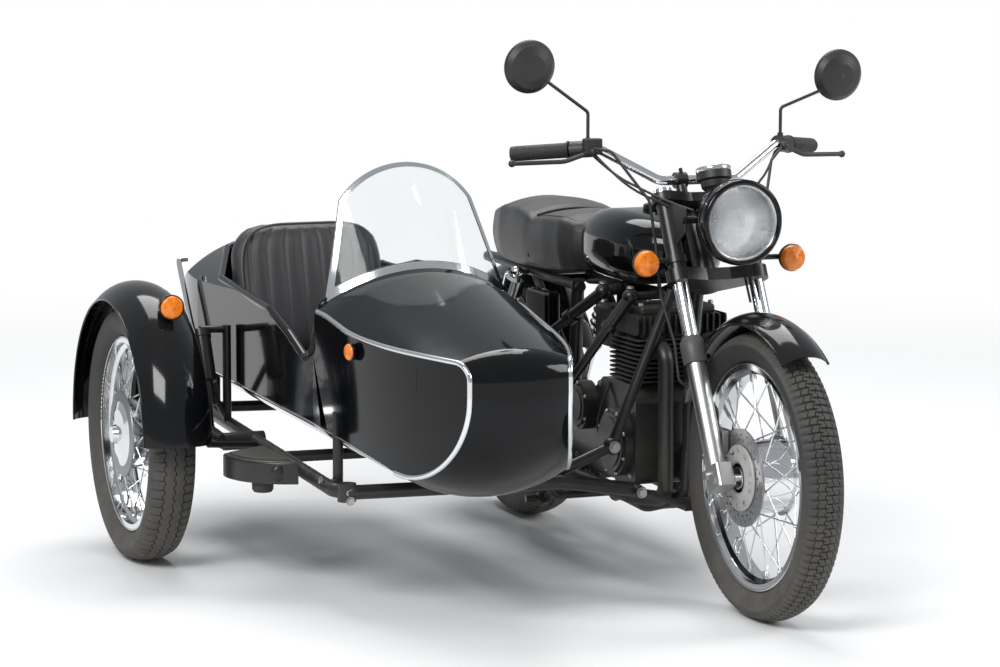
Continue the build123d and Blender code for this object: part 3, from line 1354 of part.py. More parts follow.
with BuildPart() as sidecar_mudguard:
    add(mudguard(SIDE_AXLE, SIDE_GUARD_RADIUS, SIDE_GUARD_HALF, 45.0, 87.0, 92.0))
    valance_x = -TRACK + SIDE_GUARD_HALF - 1
    with BuildSketch(side_plane(valance_x)):
        with Locations((SIDE_Y, REAR_TYRE_RADIUS)):
            Circle(SIDE_GUARD_RADIUS - 40)
            Circle(SIDE_GUARD_RADIUS - 78, mode=Mode.SUBTRACT)
            with Locations((0, -SIDE_GUARD_RADIUS + 20)):
                Rectangle(2 * SIDE_GUARD_RADIUS, 2 * SIDE_GUARD_RADIUS, mode=Mode.SUBTRACT)
    extrude(amount=-SHEET)
save(sidecar_mudguard.part, "sidecar_mudguard")

# Sidecar chassis: two rails, cross tubes below the hull, the wheel's arm and axle, the guard's stays
INNER_RAIL = TUB_X + TUB_HALF + 20.0
OUTER_RAIL = SIDE_FACE - 12.0
ARM_X = OUTER_RAIL - 80.0
ARM_Y = SIDE_Y - 148.0
GUARD_INSIDE = -TRACK + SIDE_GUARD_HALF - 3.0
STUB_END = SIDE_NECK_OUT - 1.0
HULL_MOUNTS = [(480, 306), (1450, 322)]
with BuildPart() as sidecar_chassis:
    front_run = [
        at(-JOINT_HALF, JOINT_Y, JOINT_Z),
        at(INNER_RAIL + 20, 400, 272),
        at(OUTER_RAIL + 30, 400, 280),
        at(OUTER_RAIL, 440, 282),
        at(OUTER_RAIL, 1600, 330),
    ]
    add(tube(front_run, CHASSIS_TUBE, 26))
    add(rod(at(-JOINT_HALF, JOINT_Y + 4, JOINT_Z + 1), at(-JOINT_HALF, JOINT_Y - 34, JOINT_Z - 2), 15))
    add(rod(at(INNER_RAIL, 400, RAIL_FRONT_Z), at(INNER_RAIL, 1600, 300), CHASSIS_TUBE))
    add(rod(at(INNER_RAIL, 1560, 298), at(OUTER_RAIL, 1560, 312), 14))
    add(rod(at(INNER_RAIL, 900, 280), at(OUTER_RAIL, 900, 284), 14))
    add(rod(at(OUTER_RAIL + 24, ARM_Y, 306), at(ARM_X, ARM_Y, 306), 22))
    add(rod(at(OUTER_RAIL, 985, 303), at(GUARD_INSIDE - 4, 862, 332), 8))
    add(rod(at(OUTER_RAIL, 1500, 326), at(GUARD_INSIDE - 4, 1524, 330), 8))
    add(rod(at(OUTER_RAIL, SIDE_Y + 62, 316), at(GUARD_INSIDE - 4, SIDE_Y + 62, 644), 8))
    add(sidecar_mudguard.part, mode=Mode.SUBTRACT)
    add(rod(at(ARM_X, ARM_Y, 306), at(ARM_X, SIDE_Y, REAR_TYRE_RADIUS), 18))
    add(rod(at(ARM_X - 14, SIDE_Y, REAR_TYRE_RADIUS), at(ARM_X + 16, SIDE_Y, REAR_TYRE_RADIUS), 26))
    hub_end = at(-TRACK - STUB_END, SIDE_Y, REAR_TYRE_RADIUS)
    add(rod(at(ARM_X, SIDE_Y, REAR_TYRE_RADIUS), hub_end, AXLE_RADIUS))
    add(rod(at(-TRACK + 57, SIDE_Y, REAR_TYRE_RADIUS), at(-TRACK + 66, SIDE_Y, REAR_TYRE_RADIUS), 86))
    add(rod(at(-TRACK + 64, SIDE_Y, REAR_TYRE_RADIUS), at(ARM_X, SIDE_Y, REAR_TYRE_RADIUS), 18))
    add(rod(at(ARM_X + 2, SIDE_Y - 36, 320), at(ARM_X + 2, SIDE_Y - 12, 392), 10))
    damper_foot = at(ARM_X + 2, SIDE_Y - 40, 380)
    damper_top = at(ARM_X + 2, SIDE_Y + 50, 560)
    damper = [(0, 0), (14, 0), (14, 60), (24, 64), (24, 176), (26, 178), (26, 196), (10, 200), (0, 200)]
    add(spun(damper_foot, damper_top - damper_foot, damper))
    add(rod(damper_top, at(OUTER_RAIL - 6, SIDE_Y + 58, 556), 9))
    add(rod(at(OUTER_RAIL - 6, SIDE_Y + 58, 566), at(OUTER_RAIL - 6, SIDE_Y + 58, 320), 11))
    for y, z in HULL_MOUNTS:
        for rail, side in ((INNER_RAIL, -1), (OUTER_RAIL, 1)):
            post = rail + side * 26
            add(rod(at(rail, y, z - 22), at(post, y, z - 14), 12))
            add(rod(at(post, y, z - 20), at(post, y, z + 150), 12))
    add(rod(at(OUTER_RAIL + 24, 412, 300), at(OUTER_RAIL + 24, 412, 258), 22))
    add(hull_clear, mode=Mode.SUBTRACT)
    add(hull_trim.part, mode=Mode.SUBTRACT)
    add(frame.part, mode=Mode.SUBTRACT)
save(sidecar_chassis.part, "sidecar_chassis")

# Struts between the motorcycle and the sidecar, with their screwed ends
with BuildPart() as sidecar_struts:
    feet = [(640, 285), (1200, 294)]
    for (y, z, _), (foot_y, foot_z) in zip(STRUT_TOPS, feet):
        top = at(STRUT_TOP_X - 8, y, z)
        foot = at(INNER_RAIL, foot_y, foot_z)
        add(rod(top, foot, 11))
        add(rod(top, top + (foot - top) * 0.17, 14))
        add(rod(top + (foot - top) * 0.17, top + (foot - top) * 0.2, 19))
        add(ball(top, 19))
        add(rod(foot + (top - foot) * 0.14, foot + (top - foot) * 0.02, 15))
    low = at(-LOOP_HALF - 20, 905, 385)
    add(rod(low, at(INNER_RAIL, 960, 290), 11))
    add(ball(low, 20))
    add(rod(BRACE_TOP, BRACE_FOOT, 13))
    add(rod(at(-JOINT_HALF, JOINT_Y - 26, JOINT_Z - 2), at(-30, 349, 205), 8))
    add(ball(BRACE_FOOT, 22))
    add(rod(BRACE_FOOT, at(INNER_RAIL + 4, 424, 284), 13))
    add(sidecar_chassis.part, mode=Mode.SUBTRACT)
    add(frame.part, mode=Mode.SUBTRACT)
    add(fuel_tank.part, mode=Mode.SUBTRACT)
save(sidecar_struts.part, "sidecar_struts")

# Rubber-topped step outside the outer rail, on its own rubber block
STEP_IN = OUTER_RAIL - CHASSIS_TUBE - FIT_GAP
with BuildPart() as footstep:
    with BuildSketch(top_plane(262)):
        with BuildLine():
            Line((STEP_IN, 640), (STEP_IN, 900))
            Line((STEP_IN, 900), (STEP_IN - 34, 884))
            Line((STEP_IN - 34, 884), (STEP_IN - 128, 826))
            ThreePointArc((STEP_IN - 128, 826), (STEP_IN - 100, 706), (STEP_IN, 640))
        make_face()
    extrude(amount=54)
    fillet(footstep.edges().group_by(Axis.Z)[-1], 8)
save(footstep.part, "footstep")

MARK_Y = 358.0
with BuildPart() as sidecar_lamps:
    lamp_face = SIDE_Y - 243.0
    with BuildSketch(front_plane(lamp_face)):
        with Locations((-TRACK + 15, 655)):
            Circle(28)
    extrude(amount=-80)
    with BuildSketch(front_plane(SIDE_Y + 362)):
        with Locations((-TRACK + 15, 540)):
            Circle(24)
    extrude(amount=62)
    with BuildSketch(Plane(origin=at(*SIDE_AXLE), z_dir=(1, 0, 0))):
        Circle(SIDE_GUARD_RADIUS)
    extrude(amount=150, both=True, mode=Mode.SUBTRACT)
    add(block(at(SIDE_FACE - 5, MARK_Y - 20, 590), at(SIDE_FACE + 34, MARK_Y + 20, 632), 8))
    add(hull_clear, mode=Mode.SUBTRACT)
    add(hull_trim.part, mode=Mode.SUBTRACT)
save(sidecar_lamps.part, "sidecar_lamps")

# Centre stand, folded up under the crankcase
with BuildPart() as centre_stand:
    for side in (-1, 1):
        knee = at(side * 80, STAND_Y + 90, STAND_Z - 50)
        foot = at(side * 105, STAND_Y + 158, STAND_Z - 84)
        add(tube([at(side * 38, STAND_Y, STAND_Z), knee, foot], 10, 40))
        add(rod(at(side * 104, STAND_Y + 154, STAND_Z - 84), at(side * 150, STAND_Y + 160, STAND_Z - 86), 10))
        add(rod(at(side * 105, STAND_Y + 172, STAND_Z - 92), at(side * 105, STAND_Y + 144, STAND_Z - 78), 18))
    add(rod(at(-84, STAND_Y + 90, STAND_Z - 50), at(84, STAND_Y + 90, STAND_Z - 50), 8))
    add(rod(at(-52, STAND_Y, STAND_Z), at(52, STAND_Y, STAND_Z), 12))
    add(rod(at(-60, STAND_Y, STAND_Z), at(60, STAND_Y, STAND_Z), STAND_PIN + FIT_GAP), mode=Mode.SUBTRACT)
save(centre_stand.part, "centre_stand")
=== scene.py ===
import bmesh
import bpy
import math
from mathutils import Euler, Matrix, Vector


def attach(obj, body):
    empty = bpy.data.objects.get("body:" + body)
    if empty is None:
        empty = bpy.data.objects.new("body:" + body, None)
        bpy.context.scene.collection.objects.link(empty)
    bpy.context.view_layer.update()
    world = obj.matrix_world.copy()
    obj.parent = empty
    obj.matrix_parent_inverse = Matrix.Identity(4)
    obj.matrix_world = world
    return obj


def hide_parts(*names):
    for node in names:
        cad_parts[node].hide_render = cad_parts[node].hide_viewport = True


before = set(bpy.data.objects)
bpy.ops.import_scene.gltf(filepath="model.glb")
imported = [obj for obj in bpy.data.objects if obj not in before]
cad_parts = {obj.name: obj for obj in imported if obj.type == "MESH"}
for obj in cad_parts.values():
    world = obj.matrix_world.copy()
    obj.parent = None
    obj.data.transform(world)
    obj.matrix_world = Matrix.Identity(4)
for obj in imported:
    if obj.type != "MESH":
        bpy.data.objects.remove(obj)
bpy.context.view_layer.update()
scene = bpy.context.scene

# The motorcycle's middle plane and front axle in the shared frame, in metres
BIKE_X = 0.3755
AXLE_Y = -0.785

UP = (0, 0, 1)
RIGHT = (-1, 0, 0)
LEFT = (1, 0, 0)
FRONT = (0, -1, 0)
BACK = (0, 1, 0)
SIDES = ((-1, "right"), (1, "left"))


def at(x, y, z):
    """A place from the motorcycle's middle plane, front axle and the floor, in metres."""
    return Vector((x + BIKE_X, y + AXLE_Y, z))


# Camera at the photo's angle
CAMERA_PLACE = (-2.951, -7.541, 1.643)
CAMERA_PITCH = 7.492
CAMERA_TURN = -21.637
CAMERA_ROLL = -0.122
CAMERA_LENS = 120.65

camera_data = bpy.data.cameras.new("photo_camera")
camera_data.lens = CAMERA_LENS
camera_data.sensor_width = 36.0
camera_data.clip_end = 80.0
camera = bpy.data.objects.new("photo_camera", camera_data)
scene.collection.objects.link(camera)
camera.location = CAMERA_PLACE
camera.rotation_euler = Euler(
    (math.radians(90.0 - CAMERA_PITCH), math.radians(CAMERA_ROLL), math.radians(CAMERA_TURN)), "XYZ"
)
scene.camera = camera
scene.view_settings.view_transform = "Standard"


# Shader groups: each gives only masks or normals, and the materials keep their shaders
def shader_group(name, inputs, outputs):
    """A new node group with its sockets, and its input and output nodes."""
    group = bpy.data.node_groups.new(name, "ShaderNodeTree")
    for socket, value in inputs:
        made = group.interface.new_socket(socket, in_out="INPUT", socket_type="NodeSocketFloat")
        made.default_value = value
    for socket, kind in outputs:
        group.interface.new_socket(socket, in_out="OUTPUT", socket_type=kind)
    return group, group.nodes.new("NodeGroupInput"), group.nodes.new("NodeGroupOutput")


def add_node(tree, kind, links=(), **values):
    """A node with some of its properties and inputs set, and its inputs linked."""
    node = tree.nodes.new(kind)
    for key, value in values.items():
        if key in node.inputs:
            node.inputs[key].default_value = value
        else:
            setattr(node, key, value)
    for source, target in links:
        tree.links.new(source, node.inputs[target])
    return node


def maths(tree, operation, first, second):
    """The outcome of a sum on two node outputs."""
    return add_node(tree, "ShaderNodeMath", [(first, 0), (second, 1)], operation=operation).outputs[0]


def blended(tree, share, first, second):
    """Two shaders mixed by a share."""
    return add_node(tree, "ShaderNodeMixShader", [(share, 0), (first, 1), (second, 2)]).outputs[0]


def spread_out(tree, source, low=0.0, high=1.0, **values):
    """A map from a low and a high value to zero and one."""
    node = add_node(tree, "ShaderNodeMapRange", [(source, "Value")], **values)
    node.inputs["From Min"].default_value = low
    node.inputs["From Max"].default_value = high
    return node


def noise_node(group, place, start, detail, rough):
    """Noise at the group's own scale."""
    links = [(place, "Vector"), (start.outputs["Scale"], "Scale")]
    return add_node(group, "ShaderNodeTexNoise", links, Detail=detail, Roughness=rough)


def make_patch_group():
    """Soft uneven patches with fine specks: a mask for handling and paint depth, and on the amber lens for
    painted highlight and shade.
    """
    sockets = [("Scale", 6.0), ("Contrast", 0.5)]
    group, start, end = shader_group("uneven_patches", sockets, [("Mask", "NodeSocketFloat")])
    place = add_node(group, "ShaderNodeTexCoord").outputs["Object"]
    broad = noise_node(group, place, start, 6.0, 0.62)
    ramp = spread_out(group, broad.outputs["Fac"], 0.32, 0.68)
    power = maths(group, "POWER", ramp.outputs[0], start.outputs["Contrast"])
    group.links.new(power, end.inputs["Mask"])
    return group


BRUSH_STRETCH = (40.0, 1.0, 1.0)
CELL_WALL = 0.22


def make_grain_group(kind):
    """A fine relief as a normal: cast sand, moulded leather cells, orange peel or brushing."""
    sockets = [("Scale", 400.0), ("Strength", 0.2), ("Depth", 0.0006)]
    group, start, end = shader_group(f"{kind}_grain", sockets, [("Normal", "NodeSocketVector")])
    place = add_node(group, "ShaderNodeTexCoord").outputs["Object"]
    if kind == "brushed":
        stretch = add_node(group, "ShaderNodeMapping", [(place, "Vector")])
        stretch.inputs["Scale"].default_value = BRUSH_STRETCH
        place = stretch.outputs[0]
    if kind == "leather":
        links = [(place, "Vector"), (start.outputs["Scale"], "Scale")]
        cells = add_node(group, "ShaderNodeTexVoronoi", links, feature="DISTANCE_TO_EDGE", Randomness=0.95)
        height = spread_out(group, cells.outputs["Distance"], 0.0, CELL_WALL).outputs[0]
    else:
        height = noise_node(group, place, start, 4.0 if kind == "sand" else 1.5, 0.6).outputs["Fac"]
    links = [(height, "Height"), (start.outputs["Strength"], "Strength"), (start.outputs["Depth"], "Distance")]
    bump = add_node(group, "ShaderNodeBump", links)
    group.links.new(bump.outputs["Normal"], end.inputs["Normal"])
    return group


def make_dust_group():
    """A mask that settles on upward faces and low on the machine, broken up by noise."""
    sockets = [("Scale", 18.0), ("Low", 0.45)]
    group, start, end = shader_group("road_dust", sockets, [("Mask", "NodeSocketFloat")])
    shape = add_node(group, "ShaderNodeNewGeometry")
    place = add_node(group, "ShaderNodeTexCoord").outputs["Object"]
    split = add_node(group, "ShaderNodeSeparateXYZ", [(place, "Vector")])
    tilt = add_node(group, "ShaderNodeSeparateXYZ", [(shape.outputs["Normal"], "Vector")])
    links = [(split.outputs["Z"], "Value"), (start.outputs["Low"], "From Min")]
    low = add_node(group, "ShaderNodeMapRange", links)
    low.inputs["From Max"].default_value = 0.0
    up = spread_out(group, tilt.outputs["Z"], 0.2)
    noise = noise_node(group, place, start, 5.0, 0.7)
    settled = maths(group, "MAXIMUM", low.outputs[0], up.outputs[0])
    broken = maths(group, "MULTIPLY", settled, noise.outputs["Fac"])
    group.links.new(broken, end.inputs["Mask"])
    return group


patches = make_patch_group()
grains = {kind: make_grain_group(kind) for kind in ("sand", "leather", "peel", "brushed")}
dust = make_dust_group()
DUST_COLOUR = (0.17, 0.155, 0.13, 1.0)


def finish(name, colour, rough, grain=None, dirt=0.25, tone=0.75, spread=0.12, patch_scale=7.0, **look):
    """A finished material: two colour tones, uneven roughness, a fine relief and road dust."""
    material = bpy.data.materials.new(name)
    material.use_nodes = True
    tree = material.node_tree
    shader = tree.nodes["Principled BSDF"]
    for key, value in look.items():
        shader.inputs[key.replace("_", " ")].default_value = value
    cloud = add_node(tree, "ShaderNodeGroup", node_tree=patches, Scale=patch_scale)
    deep = (*(channel * tone for channel in colour), 1.0)
    tones = add_node(
        tree, "ShaderNodeMix", [(cloud.outputs["Mask"], "Factor")], data_type="RGBA", A=deep, B=(*colour, 1.0)
    )
    paint = tones.outputs["Result"]
    if dirt:
        settled = add_node(tree, "ShaderNodeGroup", node_tree=dust)
        amount = add_node(tree, "ShaderNodeMath", [(settled.outputs["Mask"], 0)], operation="MULTIPLY")
        amount.inputs[1].default_value = dirt
        links = [(amount.outputs[0], "Factor"), (paint, "A")]
        paint = add_node(tree, "ShaderNodeMix", links, data_type="RGBA", B=DUST_COLOUR).outputs["Result"]
    tree.links.new(paint, shader.inputs["Base Color"])
    roughness = add_node(tree, "ShaderNodeMapRange", [(cloud.outputs["Mask"], "Value")])
    roughness.inputs["To Min"].default_value = min(1.0, rough + spread)
    roughness.inputs["To Max"].default_value = rough
    tree.links.new(roughness.outputs[0], shader.inputs["Roughness"])
    if grain:
        kind, scale, strength, depth = grain
        values = {"Scale": scale, "Strength": strength, "Depth": depth}
        relief = add_node(tree, "ShaderNodeGroup", node_tree=grains[kind], **values)
        tree.links.new(relief.outputs["Normal"], shader.inputs["Normal"])
    return material


def coat(specular, weight, rough, index):
    """The clear coat over a paint."""
    return {"Specular_IOR_Level": specular, "Coat_Weight": weight, "Coat_Roughness": rough, "Coat_IOR": index}


# Paints and enamels: colour, roughness, grain (kind, scale, strength, depth), then the rest
gloss_black = finish(
    "gloss_black_paint", (0.0025, 0.0025, 0.003), 0.08, ("peel", 160.0, 0.04, 0.0004), 0.04, spread=0.06,
    **coat(0.2, 0.45, 0.03, 1.3),
)
hull_black = finish(
    "hull_black_gelcoat", (0.0025, 0.0028, 0.0035), 0.08, ("peel", 60.0, 0.03, 0.0008), 0.03, spread=0.05,
    **coat(0.16, 0.4, 0.03, 1.3),
)
guard_black = finish(
    "guard_black_paint", (0.003, 0.0034, 0.0044), 0.1, ("peel", 120.0, 0.04, 0.0005), 0.1, spread=0.06,
    **coat(0.22, 0.45, 0.04, 1.3),
)
frame_black = finish(
    "frame_black_enamel", (0.009, 0.009, 0.0095), 0.3, ("peel", 260.0, 0.12, 0.0005), 0.4,
    **coat(0.35, 0.2, 0.2, 1.35),
)
engine_black = finish(
    "engine_black_enamel", (0.012, 0.0118, 0.0115), 0.34, ("sand", 500.0, 0.25, 0.0006), 0.7, 0.7,
    **coat(0.4, 0.25, 0.15, 1.35),
)
fork_grey = finish("fork_cover_grey", (0.07, 0.07, 0.071), 0.45, ("sand", 700.0, 0.15, 0.0003), 0.3)
pipe_black = finish("heat_black_pipe", (0.011, 0.0105, 0.01), 0.38, ("sand", 300.0, 0.12, 0.0004), 0.5)

# Metals: dirt and tone follow the grain
chrome = finish(
    "bright_chrome", (0.78, 0.79, 0.8), 0.07, ("peel", 90.0, 0.02, 0.0003), 0.2, 0.88, spread=0.1, Metallic=1.0
)
polished = finish(
    "polished_alloy", (0.56, 0.56, 0.555), 0.34, ("brushed", 70.0, 0.1, 0.0003), 0.3, 0.82, Metallic=1.0
)
cast_alloy = finish(
    "cast_alloy", (0.3, 0.29, 0.275), 0.5, ("sand", 700.0, 0.35, 0.0006), 0.75, 0.6, Metallic=0.85
)
dark_cast = finish(
    "dark_cast_fins", (0.03, 0.029, 0.027), 0.5, ("sand", 650.0, 0.4, 0.0006), 0.6, 0.55, Metallic=0.3
)
disc_steel = finish(
    "ground_disc_steel", (0.42, 0.42, 0.43), 0.3, ("brushed", 160.0, 0.15, 0.0002), 0.2, 0.8, Metallic=1.0
)
bolt_steel = finish("bolt_steel", (0.5, 0.49, 0.47), 0.3, ("sand", 900.0, 0.1, 0.0002), 0.3, 0.7, Metallic=1.0)
satin_cover = finish(
    "satin_hub_cover", (0.3, 0.305, 0.31), 0.42, ("brushed", 90.0, 0.08, 0.0003), 0.3, 0.85, Metallic=0.9
)
carrier_cast = finish(
    "pale_cast_carrier", (0.46, 0.455, 0.44), 0.5, ("sand", 700.0, 0.25, 0.0004), 0.25, 0.8, Metallic=0.4
)
silvering = finish(
    "lamp_silvering", (0.6, 0.61, 0.62), 0.1, ("brushed", 30.0, 0.05, 0.0006), 0.0, 0.8, Metallic=1.0
)
mirror_glass = finish("mirror_glass", (0.8, 0.82, 0.84), 0.02, None, 0.0, 0.97, 0.02, Metallic=1.0)

# Rubber, vinyl and plastic
tyre_rubber = finish("tyre_rubber", (0.03, 0.0295, 0.029), 0.7, ("sand", 900.0, 0.25, 0.0004), 0.85, 0.7)
black_rubber = finish("black_rubber", (0.016, 0.016, 0.016), 0.55, ("sand", 1100.0, 0.25, 0.0004), 0.35, 0.7)
step_grain = finish("step_grain", (0.02, 0.0195, 0.019), 0.7, ("sand", 260.0, 0.9, 0.002), 0.45, 0.6)
seat_vinyl = finish(
    "seat_vinyl", (0.014, 0.014, 0.015), 0.36, ("leather", 520.0, 0.28, 0.0005), 0.12, Sheen_Weight=0.1
)
tub_vinyl = finish(
    "tub_seat_vinyl", (0.019, 0.0195, 0.021), 0.4, ("leather", 480.0, 0.3, 0.0006), 0.1, Sheen_Weight=0.1
)
piping_grey = finish("piping_grey", (0.055, 0.055, 0.056), 0.35, ("sand", 900.0, 0.1, 0.0002), 0.1)
plastic_black = finish("moulded_black_plastic", (0.014, 0.014, 0.014), 0.42, ("sand", 500.0, 0.15, 0.0004), 0.2)
dial_black = finish("dial_black", (0.01, 0.01, 0.011), 0.5, None, 0.0)
dial_white = finish("dial_white", (0.8, 0.8, 0.76), 0.5, None, 0.0)

# Lenses and clear pieces
# The amber's fine patches of light and deep tone are painted highlight and shade for the light through the
# lens's facets
amber_lens = finish(
    "amber_lens", (0.95, 0.24, 0.006), 0.12, ("brushed", 60.0, 0.3, 0.0015), 0.02, 0.4, patch_scale=85.0,
    Specular_IOR_Level=0.4, Coat_Weight=0.5,
)
red_lens = finish(
    "red_lens", (0.4, 0.006, 0.004), 0.14, ("brushed", 24.0, 0.2, 0.001), 0.03, 0.6,
    Specular_IOR_Level=0.3, Coat_Weight=0.3,
)
screen_clear = finish(
    "clear_screen", (0.9, 0.93, 0.94), 0.03, ("peel", 12.0, 0.03, 0.002), 0.0, 0.97, 0.04,
    Transmission_Weight=1.0, IOR=1.25,
)
lamp_glass = finish(
    "lamp_glass", (0.93, 0.95, 0.96), 0.04, ("brushed", 60.0, 0.5, 0.003), 0.0, 0.96, 0.03,
    Transmission_Weight=1.0, IOR=1.35,
)

NODE_FINISHES = [
    (tyre_rubber, ("front_tyre", "rear_tyre", "sidecar_tyre")),
    (chrome, ("front_wheel", "rear_wheel", "sidecar_wheel", "stanchions", "handlebar")),
    (chrome, ("rear_shocks", "hull_trim", "windscreen_frame")),
    (disc_steel, ("front_disc",)),
    (frame_black, ("fork_yokes", "fork_covers", "frame", "swing_arm", "centre_stand")),
    (frame_black, ("sidecar_chassis", "sidecar_struts", "footstep")),
    (polished, ("sliders",)),
    (cast_alloy, ("front_caliper",)),
    (guard_black, ("front_mudguard", "rear_mudguard", "sidecar_mudguard")),
    (gloss_black, ("headlamp", "fuel_tank", "side_boxes", "sidecar_lamps")),
    (lamp_glass, ("headlamp_lens",)),
    (plastic_black, ("gauge", "bar_controls", "mirrors", "rear_lamps")),
    (black_rubber, ("grips", "control_cables")),
    (amber_lens, ("front_signals",)),
    (engine_black, ("crankcase",)),
    (dark_cast, ("cylinders",)),
    (pipe_black, ("exhausts",)),
    (seat_vinyl, ("seat",)),
    (tub_vinyl, ("sidecar_seat",)),
    (hull_black, ("sidecar_hull",)),
    (screen_clear, ("windscreen",)),
]
for material, names in NODE_FINISHES:
    for name in names:
        node_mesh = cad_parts[name].data
        node_mesh.materials.clear()
        node_mesh.materials.append(material)


# Mesh tools
def new_piece(name, mesh, material, body, smooth=True):
    """An object from a mesh, with its finish, that rides on a body."""
    piece = bpy.data.objects.new(name, mesh)
    scene.collection.objects.link(piece)
    mesh.materials.append(material)
    if smooth:
        mesh.shade_smooth()
    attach(piece, body)
    return piece


def mesh_from(name, points, faces):
    """A mesh with the piece's own name."""
    mesh = bpy.data.meshes.new(name)
    mesh.from_pydata([tuple(p) for p in points], [], faces)
    mesh.update()
    return mesh


def facing(direction, roll=0.0):
    """A turn that sends Z along a direction."""
    aim = Vector(direction).normalized().to_track_quat("Z", "Y").to_matrix().to_4x4()
    return aim @ Matrix.Rotation(roll, 4, "Z")


def ring_faces(rings, count, flip=False):
    """Faces between closed rings that each hold a count of points."""
    faces = []
    for low in range(0, (rings - 1) * count, count):
        for step in range(count):
            after = (step + 1) % count
            face = (low + step, low + after, low + count + after, low + count + step)
            faces.append(face[::-1] if flip else face)
    return faces


def lathe(profile, place, direction, segments=48):
    """Points and faces of a profile of radius and height pairs turned about a direction."""
    turn = facing(direction)
    points = []
    faces = []
    count = len(profile)
    for step in range(segments):
        angle = math.tau * step / segments
        for radius, height in profile:
            local = Vector((radius * math.cos(angle), radius * math.sin(angle), height))
            points.append(turn @ local + Vector(place))
    for step in range(segments):
        here = step * count
        there = ((step + 1) % segments) * count
        for row in range(count - 1):
            faces.append((here + row, there + row, there + row + 1, here + row + 1))
    return points, faces


def turned_piece(name, profile, place, direction, material, body, segments=48):
    """A piece turned on a lathe about a direction."""
    return new_piece(name, mesh_from(name, *lathe(profile, place, direction, segments)), material, body)


def joined(parts):
    """Several lists of points and faces as one."""
    points = []
    faces = []
    for part_points, part_faces in parts:
        base = len(points)
        points.extend(part_points)
        faces.extend(tuple(base + corner for corner in face) for face in part_faces)
    return points, faces


def both_sheets(front, back):
    """Two sheets of points and faces as one form, the back one turned inside out."""
    back_points, back_faces = back
    return joined([front, (back_points, [tuple(reversed(face)) for face in back_faces])])


def sheet_points(columns, rows, place):
    """A grid of points from a function of two shares, and its faces."""
    points = [place(i / (columns - 1), j / (rows - 1)) for j in range(rows) for i in range(columns)]
    faces = []
    for j in range(rows - 1):
        for i in range(columns - 1):
            a = j * columns + i
            faces.append((a, a + 1, a + columns + 1, a + columns))
    return points, faces


def wire(name, points, radius, material, body, resolution=10):
    """A round cable, pipe or piping along a smooth line."""
    curve = bpy.data.curves.new(name, "CURVE")
    curve.dimensions = "3D"
    curve.bevel_depth = radius
    curve.bevel_resolution = 4
    curve.resolution_u = resolution
    curve.use_fill_caps = True
    line = curve.splines.new("NURBS")
    line.points.add(len(points) - 1)
    for point, place in zip(line.points, points):
        point.co = (*place, 1.0)
    line.order_u = 3
    line.use_endpoint_u = True
    piece = bpy.data.objects.new(name, curve)
    scene.collection.objects.link(piece)
    curve.materials.append(material)
    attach(piece, body)
    return piece


HEAD_ROLL = 0.3
HEAD_SIDES = 24
SIXTH = math.pi / 3


def hexagon_head(place, direction, radius, height):
    """A chamfered hexagon bolt head with its washer."""
    turn = facing(direction, HEAD_ROLL)
    rings = [(radius * 1.3, 0.0), (radius * 1.3, height * 0.2), (radius, height * 0.2)]
    rings += [(radius, height * 0.85), (radius * 0.86, height), (0.0, height)]
    points = []
    for ring, (reach, up) in enumerate(rings):
        for step in range(HEAD_SIDES):
            angle = math.tau * step / HEAD_SIDES
            flat = 1.0
            if ring > 1:
                flat = math.cos(SIXTH / 2) / math.cos((angle % SIXTH) - SIXTH / 2) * 1.08
            local = Vector((reach * flat * math.cos(angle), reach * flat * math.sin(angle), up))
            points.append(turn @ local + Vector(place))
    return points, ring_faces(len(rings), HEAD_SIDES)


def domed_head(place, direction, radius, height):
    """A round screw head."""
    profile = [(radius, 0), (radius, height * 0.3), (radius * 0.8, height * 0.8)]
    profile += [(radius * 0.4, height), (0, height)]
    return lathe(profile, place, direction, 14)


def fasteners(name, body, table):
    """Many bolt heads as one piece: rows of the head, its place, direction, radius and height."""
    heads = [head(*values) for head, *values in table]
    return new_piece(name, mesh_from(name, *joined(heads)), bolt_steel, body, smooth=False)


# Tyres: a carcass with a block or rib tread cut into it
SHOULDER_SHARE = 0.86
CROWN_DROP = 0.014
GROOVE_DEPTH = 0.0055
CUT_DEPTH = GROOVE_DEPTH * 0.85


def sidewall_points(radius, half, rim_radius, rim_half):
    """Half of a tyre's section from the rim's bead up to the shoulder: half width and radius."""
    middle = (radius + rim_radius) / 2
    return [
        (rim_half - 0.0055, rim_radius - 0.010),
        (rim_half - 0.0052, rim_radius + 0.004),
        (rim_half + 0.006, rim_radius + 0.0075),
        (half * 0.93, middle - 0.012),
        (half * 0.985, middle + 0.004),
        (half * 0.975, middle + 0.012),
        (half * 0.94, radius - CROWN_DROP - 0.010),
    ]


